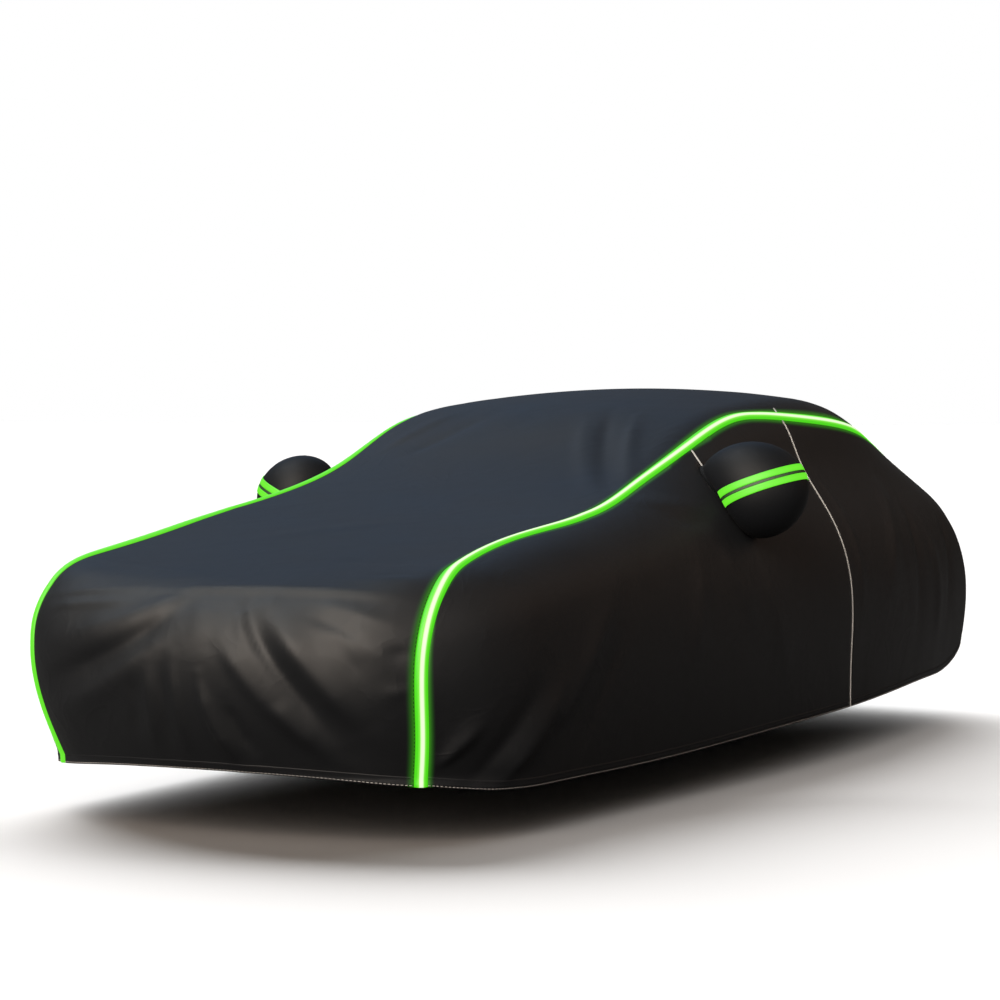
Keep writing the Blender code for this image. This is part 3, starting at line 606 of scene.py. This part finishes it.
# Folds of the left side: start along and height, bend, end, half widths, height of fold.
LEFT_FOLDS = [
    (-2.17, 0.22, -2.13, 0.29, -2.07, 0.38, 0.014, 0.034, 0.014),
    (-1.99, 0.16, -1.86, 0.32, -1.69, 0.52, 0.030, 0.050, 0.018),
    (-2.07, 0.17, -1.96, 0.34, -1.84, 0.50, 0.022, 0.045, -0.010),
    (-1.80, 0.30, -1.66, 0.45, -1.40, 0.72, 0.026, 0.055, 0.013),
    (-1.60, 0.20, -1.52, 0.40, -1.34, 0.62, 0.022, 0.050, -0.008),
    (-0.67, 0.83, -0.55, 0.68, -0.42, 0.52, 0.040, 0.070, 0.007),
    (-0.88, 0.96, -0.75, 0.945, -0.58, 0.95, 0.020, 0.030, 0.006),
    (-0.84, 0.90, -0.72, 0.89, -0.56, 0.90, 0.018, 0.028, -0.005),
    (-0.81, 0.77, -0.88, 0.60, -0.94, 0.38, 0.040, 0.080, 0.007),
    (-0.37, 0.75, -0.28, 0.54, -0.16, 0.30, 0.040, 0.080, 0.006),
    (1.15, 1.03, 0.96, 0.80, 0.74, 0.50, 0.035, 0.080, 0.010),
    (1.27, 0.91, 1.22, 0.65, 1.15, 0.34, 0.035, 0.070, -0.010),
    (1.43, 0.80, 1.47, 0.58, 1.46, 0.32, 0.035, 0.070, 0.010),
    (1.75, 0.90, 1.72, 0.66, 1.62, 0.40, 0.030, 0.060, -0.008),
    (0.45, 1.10, 0.50, 0.80, 0.47, 0.45, 0.022, 0.040, 0.006),
]
# Soft folds of the right side, in the same columns.
RIGHT_FOLDS = [
    (-2.00, 0.16, -1.88, 0.34, -1.70, 0.52, 0.030, 0.055, 0.013),
    (-1.64, 0.24, -1.54, 0.44, -1.38, 0.68, 0.028, 0.060, 0.011),
    (-0.60, 0.78, -0.55, 0.64, -0.46, 0.48, 0.040, 0.075, 0.007),
    (-0.10, 0.72, -0.02, 0.52, 0.06, 0.30, 0.040, 0.080, 0.006),
    (0.72, 1.04, 0.66, 0.78, 0.52, 0.44, 0.035, 0.080, 0.009),
    (1.14, 1.02, 1.00, 0.78, 0.84, 0.48, 0.035, 0.080, 0.010),
    (1.32, 0.90, 1.28, 0.64, 1.22, 0.34, 0.035, 0.070, -0.010),
    (1.70, 0.88, 1.68, 0.62, 1.58, 0.38, 0.030, 0.060, 0.008),
]
# Mirror pockets: side, along, height of the middle.
POCKETS = {"left": (1.0, -0.37, 0.990), "right": (-1.0, -0.37, 0.930)}


def even_rows(points):
    """Spaces the points of each column evenly by the distance run up it."""
    run = run_lengths(points, 0)
    target = np.linspace(0, 1, len(points))[:, None] * run[-1:]
    below = np.clip((run[None, 1:-1] <= target[:, None]).sum(1), 0, len(points) - 2)
    low, high = np.take_along_axis(run, below, 0), np.take_along_axis(run, below + 1, 0)
    share = ((target - low) / np.maximum(high - low, 1e-9))[..., None]
    first = np.take_along_axis(points, below[..., None], 0)
    return first * (1 - share) + np.take_along_axis(points, below[..., None] + 1, 0) * share


def side_patch(low, high, start, end):
    """Cloth between a hem below, a seam above and a line at each end: the two ruled surfaces between
    opposite edges added, less the flat one through the corners, and settled on the form."""
    u = np.linspace(0, 1, len(low))[None, :, None]
    w = np.linspace(0, 1, len(start))[:, None, None]
    ruled = (1 - w) * low[None] + w * high[None] + (1 - u) * start[:, None] + u * end[:, None]
    corners = (1 - w) * ((1 - u) * low[0] + u * low[-1]) + w * ((1 - u) * high[0] + u * high[-1])
    points = settle(ruled - corners)
    for _ in range(2):
        points[0], points[-1] = low, high
        points = settle(even_rows(points))
    points[0], points[-1], points[:, 0], points[:, -1] = low, high, start, end
    return points


def dress_side(points, folds, seed, calm=None):
    """Adds folds and small creases along the normal. They die away towards the seams at the top and ends,
    and where the calm value is nought."""
    normal = outward(points)
    relief = fold_relief(points[..., 1], points[..., 2], folds)
    relief += small_creases(points[..., 1], points[..., 2], seed, count=60, span_a=(-2.2, 2.2),
                            span_b=(0.2, 1.1), slant=1.7, height=0.0010)
    gaps = [np.linalg.norm(points - line, axis=-1) for line in (points[-1:], points[:, :1], points[:, -1:])]
    keep = np.prod([fade(gap) for gap in gaps], axis=0)
    if calm is not None:
        keep = keep * fade(calm, HOLE_CALM)
    return points + normal * (relief * keep)[..., None], gaps


def drawn_to(line, start, end, reach=0.25):
    """Shifts a line so that its ends lie at the given points. The shift dies away over the reach."""
    run = run_lengths(line, 0)[:, None]
    at_start, at_end = 1 - fade(run, reach), 1 - fade(run[-1] - run, reach)
    return line + (start - line[0]) * at_start + (end - line[-1]) * at_end


side_edge = settle(seam + (TAPE_WIDTH / 2 + SEAM_GAP) * seam_across)
NOSE_TOP, ZIP_TOP, TAIL_TOP = ROWS_UP, ROWS_UP + COLUMNS_FRONT, ROWS_UP + COLUMNS_FRONT + COLUMNS_REAR
hem = settle(legs_along(SIDE_HEM, (HEM_ZIP_ROW,), (COLUMNS_FRONT, COLUMNS_REAR)), (1, 1, 0))
hem = settle(drawn_to(hem, side_edge[0], side_edge[-1]), (1, 1, 0))
hem[0], hem[-1] = side_edge[0], side_edge[-1]
zip_line = settle(legs_along(ZIP_LINE, (), (ROWS_UP,))[::-1], (1, 0, 0))
zip_line[0], zip_line[-1] = hem[COLUMNS_FRONT], side_edge[ZIP_TOP]


def side_halves(parting):
    """Both halves of a side, ahead of and behind the zip line, each moved back from it by the parting."""
    apart = np.array([0, parting, 0])
    before, after = settle(zip_line - apart, (1, 0, 0)), settle(zip_line + apart, (1, 0, 0))
    low_front = drawn_to(hem[:COLUMNS_FRONT + 1], hem[0], before[0])
    high_front = drawn_to(side_edge[NOSE_TOP:ZIP_TOP + 1], side_edge[NOSE_TOP], before[-1])
    low_rear = drawn_to(hem[COLUMNS_FRONT:], after[0], hem[-1])
    high_rear = drawn_to(side_edge[ZIP_TOP:TAIL_TOP + 1], after[-1], side_edge[TAIL_TOP])
    front = side_patch(low_front, high_front, side_edge[:NOSE_TOP + 1], before)
    rear = side_patch(low_rear, high_rear, after, side_edge[TAIL_TOP:][::-1])
    return front, rear


def draw_hole(points, along, up):
    """Draws a square block of cells round a pocket's middle onto the ellipse of its neck. In steps from
    the block's middle, the square's edge goes onto the circle through the ratio of its two radii, and
    the pull dies away at a little over twice the block. Gives the points, the block's rows and columns, and
    how far each point is from the block, in half blocks."""
    off = np.hypot(points[..., 1] - along, points[..., 2] - up)
    row, column = np.unravel_index(off.argmin(), off.shape)
    rows, columns = np.indices(off.shape)
    across, rise = (columns - column) / HOLE_CELLS, (rows - row) / HOLE_CELLS
    square = np.maximum(np.abs(across), np.abs(rise))
    ratio = np.where(square > 0, square / np.maximum(np.hypot(across, rise), 1e-9), 1)
    ideal = points.copy()
    ideal[..., 1] = along + across * ratio * (POCKET_NECK * POCKET_HALF[1] + SEAM_GAP)
    ideal[..., 2] = up + rise * ratio * (POCKET_NECK * POCKET_HALF[2] + SEAM_GAP)
    pull = 1 - fade(square - 1, HOLE_PULL)[..., None]
    drawn = np.where(pull > 0, settle(points * (1 - pull) + ideal * pull, (1, 0, 0)), points)
    block = (row - HOLE_CELLS, row + HOLE_CELLS, column - HOLE_CELLS, column + HOLE_CELLS)
    return drawn, block, np.maximum(square - 1, 0)


side_cloths = {side: cloth_paint(side + "_side_cloth", side == "left") for side in POCKETS}
side_panels, side_shapes = {}, {}
for side, parting, folds, seed in (("left", ZIP_WIDTH / 2 + SEAM_GAP, LEFT_FOLDS, 21),
                                   ("right", SEAM_GAP / 2, RIGHT_FOLDS, 31)):
    sign, along, up = POCKETS[side]
    plain_front, plain_rear = side_halves(parting)
    plain_front, hole, calm = draw_hole(plain_front, along, up)
    for part, plain, block, quiet in (("front", plain_front, hole, calm), ("rear", plain_rear, None, None)):
        shape, gaps = dress_side(plain, folds, seed + (part == "rear"), quiet)
        from_tape = np.minimum(gaps[0], gaps[1] if part == "front" else gaps[2]) + TAPE_WIDTH / 2
        panel = lay_grid(f"{side}_{part}_panel_cloth", shape * [sign, 1, 1], side_cloths[side], CLOTH,
                         hole=block, back=inner_side,
                         marks={"from_seam": from_tape, "from_hem": run_lengths(shape, 0)})
        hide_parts(f"{side}_{part}_panel")
        side_panels[side, part] = panel
        side_shapes[side, part] = shape

# ======================================================================================
# Piping tapes and the shining stripe
# Broad lime tapes sewn over both long seams. The left one has a pale reflective stripe along
# its middle; the right one is plain. Their colour is a painted glow, an emission that only the camera
# sees, and so is the stripe's light on the cloth beside it.
# ======================================================================================

TAPE_THICKNESS, TAPE_CROWN = 0.0018, 0.0085
# The stripe's underside stands clear of the tape by this gap.
STRIPE_WIDTH, STRIPE_THICKNESS, STRIPE_GAP = 0.014, 0.0008, 0.0003
# The tapes' edges reach just over the edges of the cloths that they join.
TAPE_PLACES = (-1.09, -0.86, -0.55, -0.39, 0, 0.39, 0.55, 0.86, 1.09)
TAPE_LIFTS = np.array([0.17, 0.5, 0.88, 0.96, 1, 0.96, 0.88, 0.5, 0.17]) * TAPE_CROWN
STRIP_PLACES = (-1, -0.5, 0, 0.5, 1)
# Behind the roof the tapes lie flatter: from where to where along, and the share of the crown that is left.
FLATTER_ALONG, FLATTER_SHARE = (1.10, 1.40), 0.15
# The tape's colour is mostly a painted glow. The share of other light that the tape's dye gives back, and
# how dark its uneven places can get.
TAPE_DYE, TAPE_SHADE = 0.06, 0.8


def ribbon(line, across, width, places, lifts):
    """Lines of points along a tape at shares of its half width, each lifted off the form by its rise."""
    grid = np.stack([settle(line + place * width / 2 * across) for place in places], 1)
    return grid + outward(grid) * np.broadcast_to(lifts, grid.shape[:2])[..., None]


def tape_paint(name, low, high, strength, core=(0.0, TAPE_WIDTH / 2)):
    """Woven lime tape with a painted glow: its colour is an emission that only the camera sees, going from
    the paler middle to the deeper edges by its map, with the ribs of the weave and slight unevenness in the
    glow."""
    made, tree, shader, spot = new_paint(name)
    off = maths(tree, "ABSOLUTE", add_node(tree, "ShaderNodeSeparateXYZ", {0: spot}).outputs[0])
    colour = blend(tree, spread(tree, off, core, (0.0, 1.0)), high, low)
    shade = spread(tree, noise(tree, spot, 14.0, 3.0), (0.0, 1.0), (0.86, 1.0))
    toned = blend(tree, shade, (*(TAPE_SHADE * value for value in low[:3]), 1), colour)
    # Painted glow: the tape's colour is an emission that only the camera sees, over a dye that takes little
    # light.
    feed(tree, shader, {
        "Normal": raised(tree, woven(tree, spot, 500.0), 0.3, 0.0004),
        "Base Color": blend(tree, TAPE_DYE, BLACK, toned), "Roughness": 0.5, "Specular IOR Level": 0.3,
        "Emission Color": blend(tree, seen_by_camera(tree), BLACK, toned), "Emission Strength": strength})
    return made


left_lime = tape_paint("left_lime_tape", (0.085, 0.80, 0.010, 1), (0.28, 0.98, 0.08, 1), 0.85,
                       (STRIPE_WIDTH / 2, TAPE_WIDTH / 2 * 0.8))
right_lime = tape_paint("right_lime_tape", (0.13, 0.82, 0.02, 1), (0.18, 0.92, 0.04, 1), 0.85)
painted_glow_stripe = tape_paint("reflective_stripe", (0.45, 0.98, 0.25, 1), (0.86, 1.0, 0.70, 1), 0.98,
                     (STRIPE_WIDTH * 0.25, STRIPE_WIDTH / 2))
stands = np.interp(seam[:, 1], FLATTER_ALONG, (1, FLATTER_SHARE))[:, None]
tape = ribbon(seam, seam_across, TAPE_WIDTH, TAPE_PLACES, TAPE_LIFTS * stands)
left_piping = lay_grid("left_piping_tape", tape, left_lime, TAPE_THICKNESS, back=inner_side)
right_piping = lay_grid("right_piping_tape", tape * MIRROR, right_lime, TAPE_THICKNESS, back=inner_side)
stripe = ribbon(seam, seam_across, STRIPE_WIDTH, STRIP_PLACES,
                TAPE_CROWN * stands + STRIPE_THICKNESS + STRIPE_GAP)
left_stripe = lay_grid("left_reflective_stripe_tape", stripe, painted_glow_stripe, STRIPE_THICKNESS)
for piece, node, slot in ((left_piping, "left_piping", "lime_tape"),
                          (right_piping, "right_piping", "lime_tape"),
                          (left_stripe, "left_reflective_stripe", "reflective_tape")):
    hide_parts(node)

# ======================================================================================
# Door zip
# A pale grey coil zip down the left side, from the seam to the hem, so that a door can open
# under the cover. Its tape is sewn between the two left panels; the coil stands on it.
# ======================================================================================

# The zip's strip stands off the form by this little, and its coil a little more.
ZIP_THICKNESS, ZIP_LIFT, COIL_LIFT = 0.0012, 0.0002, 0.0004
TOOTH_PITCH, TOOTH_SIZE = 0.0034, (0.0036, 0.0024, 0.0018)
# The coil's two rows, as far from the zip's middle as this.
COIL_ROWS = (("ahead", -0.0016), ("behind", 0.0016))
# A bar's stations along its length, how full it is at each, and how far it stands up.
BAR_STATIONS, BAR_FULLNESS = np.array([-0.5, -0.28, 0.28, 0.5]), np.array([0.45, 1.0, 1.0, 0.45])
BAR_RISE = 0.15


def beads_along(name, line, normal, along, paint, pitch, size):
    """Equal small rounded bars set along a line, such as stitches or teeth. Each is a ring of six points
    carried through four stations, fuller in the middle, and the whole row is worked out at once.
    Size is the bar's length along its own direction, its width and its height."""
    run = run_lengths(line, 0)
    count = int(run[-1] // pitch)
    at = (np.arange(count) + 0.5) * pitch

    def read(values):
        return np.stack([np.interp(at, run, values[:, k]) for k in range(3)], 1)

    middle, up, run_on = read(line), read(normal), read(along)
    up = unit(up)
    run_on = unit(run_on - (run_on * up).sum(1, keepdims=True) * up)
    across = np.cross(up, run_on)
    length, width, height = size
    station = BAR_STATIONS * length
    turn = np.arange(6) * np.pi / 3
    side = BAR_FULLNESS[:, None] * np.cos(turn)[None] * width / 2
    rise = BAR_FULLNESS[:, None] * np.sin(turn)[None] * height / 2 + height * BAR_RISE
    points = middle[:, None, None] + run_on[:, None, None] * station[None, :, None, None]
    points = points + across[:, None, None] * side[None, :, :, None]
    points = points + up[:, None, None] * rise[None, :, :, None]
    index = np.arange(24).reshape(4, 6)
    turned = np.roll(index, -1, axis=1)
    quads = np.stack([index[:-1], turned[:-1], turned[1:], index[1:]], -1).reshape(-1, 4)
    ends = np.stack([index[0][::-1], index[-1]])
    one = [quads[:, ::-1], ends[:, [0, 1, 2, 5]][:, ::-1], ends[:, [2, 3, 4, 5]][:, ::-1]]
    one = np.concatenate(one)[:, ::-1]
    faces = (one[None] + 24 * np.arange(count)[:, None, None]).reshape(-1, 4)
    piece = new_piece(name, points.reshape(-1, 3) - ORIGIN, faces.tolist(), paint)
    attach(piece, "root")
    return piece


def thread_paint(name, dark, light, rough, shine=0.4):
    """Twisted thread or moulded coil: one colour, a little uneven in places, with a faint twist."""
    made, tree, shader, spot = new_paint(name, by_cut=False)
    feed(tree, shader, {
        "Base Color": blend(tree, noise(tree, spot, 45.0, 2.0), dark, light),
        "Normal": raised(tree, noise(tree, spot, 1400.0, 1.0), 0.3, 0.0003),
        "Roughness": rough, "Specular IOR Level": shine})
    return made


def web_paint(name, dark, light):
    """Dark or pale woven web for zip tape and pocket strips: ribs by its map, with an uneven tone."""
    made, tree, shader, spot = new_paint(name)
    feed(tree, shader, {
        "Normal": raised(tree, woven(tree, spot, 700.0), 0.4, 0.0004),
        "Base Color": blend(tree, noise(tree, spot, 20.0, 3.0), dark, light), "Roughness": 0.55})
    return made


zip_web = web_paint("grey_zip_tape", (0.16, 0.16, 0.155, 1), (0.24, 0.24, 0.235, 1))
zip_coil = thread_paint("pale_zip_coil", (0.55, 0.55, 0.53, 1), (0.72, 0.72, 0.70, 1), 0.35)
zip_across = np.zeros_like(zip_line) + [0, 1, 0]
zip_grid = ribbon(zip_line, zip_across, ZIP_WIDTH, STRIP_PLACES, ZIP_LIFT)
door_zip = lay_grid("door_zip_tape", zip_grid, zip_web, ZIP_THICKNESS)
zip_normal = outward(zip_line)
zip_path = zip_line + zip_normal * COIL_LIFT
teeth = [beads_along("zip_coil_" + side, zip_path + zip_across * shift, zip_normal, zip_across, zip_coil,
                     TOOTH_PITCH, TOOTH_SIZE) for side, shift in COIL_ROWS]
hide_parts("door_zip")

# ======================================================================================
# Mirror pockets
# A rounded bag of the same cloth on each side for the door mirror, sewn into a hole in the
# side panel. Two lime strips with a dark green one between them run round its front.
# ======================================================================================

# A bag's collar reaches in and out of the hole, and the bag keeps clear of the body with a soft blend.
COLLAR_INWARD, COLLAR_OUTWARD, POCKET_CLEAR, POCKET_BLEND = 0.010, 0.009, 0.010, 0.0033
RINGS, SEGMENTS = 44, 120
# The strips' ends in degrees forwards and back from the bag's outermost place, and their rise outwards.
BAND_START = {"left": 128.0, "right": 116.0}
BAND_END, BAND_RISE, BAND_ROWS, BAND_COLUMNS = -25.0, 0.33, 65, 7
WEB_THICKNESS = 0.0008
# Strips across each pocket: name, middle above the pocket's middle, half width, lift off the bag.
BAND_STRIPS = [("upper_band", 0.0235, 0.0120, 0.0028), ("middle_band", 0.006, 0.0052, 0.0018),
               ("lower_band", -0.0115, 0.0120, 0.0028)]


def bag_point(angle, turn, along, up):
    """A place on the rounded bag: an ellipsoid by the angle from its tip and the direction round it, drawn
    to its collar by the cube of the angle, and kept clear of the body."""
    start = np.pi - np.arcsin(POCKET_NECK)
    towards = np.stack([np.cos(angle), np.sin(angle) * np.cos(turn), np.sin(angle) * np.sin(turn)], -1)
    point = towards * POCKET_HALF + np.array([POCKET_OUT, along, up])
    ring = np.stack([np.full_like(turn, POCKET_OUT), along + POCKET_NECK * POCKET_HALF[1] * np.cos(turn),
                     up + POCKET_NECK * POCKET_HALF[2] * np.sin(turn)], -1)
    collar = settle(ring, (1, 0, 0))[..., 0] + COLLAR_OUTWARD
    point[..., 0] += (collar - POCKET_OUT - POCKET_HALF[0] * np.cos(start)) * (angle / start) ** 3
    short = POCKET_CLEAR - outside_body(point)
    push = (short + np.sqrt(short ** 2 + POCKET_BLEND ** 2)) / 2
    point[..., 0] += np.where(angle < start, push / np.maximum(outward(point)[..., 0], 0.3), 0)
    return point


def bag_grid(along, up):
    """Rings of the bag from a straight collar in the panel's hole out to its tip."""
    turn = np.linspace(0, 2 * np.pi, SEGMENTS, endpoint=False)[None, :]
    start = np.pi - np.arcsin(POCKET_NECK)
    angle = start * (1 - np.arange(RINGS)[:, None] / RINGS)
    bag = bag_point(angle + 0 * turn, turn + 0 * angle, along, up)
    return np.concatenate([bag[:1] - [COLLAR_INWARD + COLLAR_OUTWARD, 0, 0], bag])


def band_grid(along, up, start, middle_up, half_width, lift):
    """A strip round the front of a bag, between the cuts of two slanting planes, lifted off the bag."""
    half_out, _, half_up = POCKET_HALF
    slant = BAND_RISE * half_out / half_up
    size = np.sqrt(1 + slant ** 2)
    sweep = np.radians(np.linspace(start, BAND_END, BAND_ROWS))[:, None]
    depth = (middle_up + np.linspace(-1, 1, BAND_COLUMNS)[None, :] * half_width) / half_up / size
    radius = np.sqrt(1 - depth ** 2)
    out = (radius * np.cos(sweep) - slant * depth) / size
    rise = (radius * np.cos(sweep) * slant + depth) / size
    angle, turn = np.arccos(out), np.arctan2(rise, -radius * np.sin(sweep))
    grid = bag_point(angle, turn, along, up)
    normal = unit(np.cross(np.gradient(grid, axis=0), np.gradient(grid, axis=1)))
    normal *= np.sign((normal * (grid - [POCKET_OUT, along, up])).sum(-1, keepdims=True).mean())
    return grid + normal * lift


pocket_cloth = cloth_paint("pocket_cloth", False, 0.09)
# The pocket's lime strips have the same painted glow as the piping tapes.
band_lime = tape_paint("pocket_lime_strip", (0.13, 0.84, 0.02, 1), (0.17, 0.92, 0.03, 1), 0.85)
band_green = web_paint("dark_green_strip", (0.002, 0.016, 0.001, 1), (0.004, 0.032, 0.002, 1))
bands, pockets = {}, {}
for side, (sign, along, up) in POCKETS.items():
    bag = bag_grid(along, up)
    mirror = np.array([sign, 1.0, 1.0])
    tip = bag_point(np.zeros(1), np.zeros(1), along, up)[0]
    pocket = lay_grid(side + "_mirror_pocket_bag", bag * mirror, pocket_cloth, CLOTH, loop=True,
                      back=inner_side, tip=tip * mirror, marks={"from_hem": np.full(bag.shape[:2], 1.0)})
    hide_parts(side + "_mirror_pocket")
    pockets[side] = pocket
    for name, middle_up, half_width, lift in BAND_STRIPS:
        strip = band_grid(along, up, BAND_START[side], middle_up, half_width, lift)
        paint = band_green if name == "middle_band" else band_lime
        band = lay_grid(side + "_pocket_" + name + "_tape", strip * mirror, paint, WEB_THICKNESS,
                        away=(strip.reshape(-1, 3).mean(0) - [POCKET_OUT, along, up]) * mirror)
        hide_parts(side + "_pocket_" + name)
        bands[side, name] = band

# ======================================================================================
# Sewing
# Pale thread along the hems, which are turned up and sewn down, dark thread beside the tapes,
# and a short pale tape over the dart between the left piping and its pocket.
# ======================================================================================

pale_thread = thread_paint("pale_hem_thread", (0.16, 0.155, 0.15, 1), (0.26, 0.25, 0.24, 1), 0.6)
dark_thread = thread_paint("dark_seam_thread", (0.003, 0.003, 0.004, 1), (0.006, 0.006, 0.007, 1), 0.7, 0.1)
STITCH_PITCH, HEM_STITCH, EDGE_STITCH = 0.0125, (0.0085, 0.0022, 0.0016), (0.0085, 0.0018, 0.0012)
# How far the two rows of the hem, and the row beside a tape, are from the cloth's edge.
HEM_EDGE_ROW, HEM_TOP_ROW, TAPE_ROW = 0.004, 0.024, 0.004


def sew_row(name, grid, inset, paint, size, mirror=False):
    """Stitches along the first row of a dressed grid, inset from its edge along the cloth and a little
    proud of it."""
    share = np.clip(inset / run_lengths(grid, 0)[1], 0, 5)[:, None]
    grid = np.stack([grid[0] * (1 - share) + grid[1] * share, grid[2]])
    across, down = np.gradient(grid, axis=1), np.gradient(grid, axis=0)
    normal = unit(np.cross(across, down))
    normal *= np.sign((normal * (grid - INSIDE)).sum(-1).mean())
    turn = MIRROR if mirror else np.ones(3)
    return beads_along(name, grid[0] * turn, normal[0] * turn, across[0] * turn, paint, STITCH_PITCH, size)


hem_grids = {"front": (centre, False), "rear": (centre[::-1], False)}
for (side, part), shape in side_shapes.items():
    hem_grids[f"{side}_{part}"] = (shape, side == "right")
for name, (grid, mirror) in hem_grids.items():
    sew_row(name + "_hem_edge_stitches", grid, HEM_EDGE_ROW, pale_thread, HEM_STITCH, mirror)
    sew_row(name + "_hem_top_stitches", grid, HEM_TOP_ROW, dark_thread, HEM_STITCH, mirror)

tape_threads = {"centre": [
    sew_row(name + "_tape_inner_stitches", grid.transpose(1, 0, 2), TAPE_ROW, dark_thread, EDGE_STITCH)
    for name, grid in (("left", centre[:, ::-1]), ("right", centre))]}
for (side, part), shape in side_shapes.items():
    tape_threads[f"{side}_{part}"] = [
        sew_row(f"{side}_{part}_tape_outer_stitches", shape[::-1], TAPE_ROW, dark_thread, EDGE_STITCH,
                side == "right")]

# The short tape over the dart: out, along, height of its ends.
DART_ENDS = [(0.650, -0.350, 1.121), (0.680, -0.368, 1.093), (0.712, -0.384, 1.061)]
DART_WIDTH, DART_CELLS, DART_LIFTS = 0.009, 12, np.array([0.3, 1, 1.2, 1, 0.3]) * 0.0022
dart = settle(legs_along(DART_ENDS, (), (DART_CELLS,)))
dart_across = unit(np.cross(np.gradient(dart, axis=0), outward(dart)))
dart_grid = ribbon(dart, dart_across, DART_WIDTH, STRIP_PLACES, DART_LIFTS)
dart_tape = lay_grid("left_dart_tape", dart_grid, zip_web, WEB_THICKNESS,
                     away=outward(dart_grid[:1, :1]).reshape(3))

# ======================================================================================
# Stage
# A seamless pale floor that runs into a white backdrop, soft far lamps and the camera, as in a
# studio. Each lamp is flagged so that it lights either the floor or the cloth.
# ======================================================================================

FLOOR_HEIGHT = -ORIGIN[2]
FLOOR_SEEN, FLOOR_BOUNCE = (0.92, 0.92, 0.92, 1), (0.12, 0.12, 0.12, 1)


def floor_paint():
    """Pale seamless paper with faint unevenness. Only the camera sees it pale; for the light that it throws
    back it counts as dark, as when black flags stand round a dark subject."""
    made, tree, shader, spot = new_paint("pale_floor", by_cut=False)
    shade = spread(tree, noise(tree, spot, 0.6, 2.0), (0.0, 1.0), (0.98, 1.0))
    pale = blend(tree, shade, BLACK, FLOOR_SEEN)
    feed(tree, shader, {
        "Base Color": blend(tree, seen_by_camera(tree), FLOOR_BOUNCE, pale),
        "Roughness": 1.0, "Specular IOR Level": 0.0})
    return made


bpy.ops.mesh.primitive_plane_add(size=400, location=(0, 0, FLOOR_HEIGHT))
floor = bpy.context.object
floor.name = "pale_floor"
floor.data.materials.append(floor_paint())

world = bpy.data.worlds.new("studio")
bpy.context.scene.world = world
world.use_nodes = True
sky = world.node_tree
backdrop = add_node(sky, "ShaderNodeBackground", {"Color": (1, 1, 1, 1), "Strength": 1.0})
fill = add_node(sky, "ShaderNodeBackground", {"Color": (1.0, 0.97, 0.95, 1), "Strength": 0.022})
both = add_node(sky, "ShaderNodeMixShader", {
    0: seen_by_camera(sky), 1: fill.outputs[0], 2: backdrop.outputs[0]})
feed(sky, sky.nodes["World Output"], {"Surface": both.outputs[0]})
bpy.context.scene.view_settings.view_transform = "Standard"

lit_cloth = bpy.data.collections.new("lit_cloth")
lit_floor = bpy.data.collections.new("lit_floor")
for piece in bpy.context.scene.objects:
    if piece.type == "MESH":
        (lit_floor if piece is floor else lit_cloth).objects.link(piece)


def sun(name, turn, height, strength, colour, width, lit):
    """A soft far light, by degrees turned from the nose towards the left side, degrees up and degrees
    wide. Black flags keep it off all but what it is for."""
    light = bpy.data.lights.new(name, "SUN")
    light.energy, light.color, light.angle = strength, colour, math.radians(width)
    lamp = bpy.data.objects.new(name, light)
    bpy.context.scene.collection.objects.link(lamp)
    turn, height = math.radians(turn), math.radians(height)
    towards = (math.sin(turn) * math.cos(height), -math.cos(turn) * math.cos(height), math.sin(height))
    lamp.rotation_euler = Vector(towards).to_track_quat("Z", "Y").to_euler()
    lamp.light_linking.receiver_collection = lit


sun("floor_light", -134, 40, 4.7, (1.0, 1.0, 1.0), 58, lit_floor)
sun("second_floor_light", 165, 40, 0.8, (1.0, 1.0, 1.0), 50, lit_floor)
sun("floor_fill", 15, 30, 0.9, (1.0, 0.84, 0.72), 60, lit_floor)
sun("key_light", -138, 42, 0.21, (0.46, 0.88, 1.55), 50, lit_cloth)
sun("edge_light", -85, 60, 1.6, (0.90, 0.96, 1.0), 30, lit_cloth)
sun("band_light", -26, 46, 2.7, (1.0, 0.95, 0.86), 34, lit_cloth)
sun("low_front_light", -2, 24, 6.6, (1.0, 0.87, 0.75), 38, lit_cloth)
sun("side_light", 55, 28, 1.4, (1.0, 0.90, 0.82), 60, lit_cloth)
sun("rear_side_light", 130, 30, 0.35, (1.0, 0.66, 0.48), 50, lit_cloth)

camera_data = bpy.data.cameras.new("camera")
camera = bpy.data.objects.new("camera", camera_data)
bpy.context.scene.collection.objects.link(camera)
camera_data.sensor_width = 36
camera_data.lens = 106.475
camera_data.clip_end = 1000
camera.location = (4.8675, -10.1316, -0.0734)
camera.rotation_euler = (math.radians(90 - 1.776), 0, math.radians(28.3804))
bpy.context.scene.camera = camera
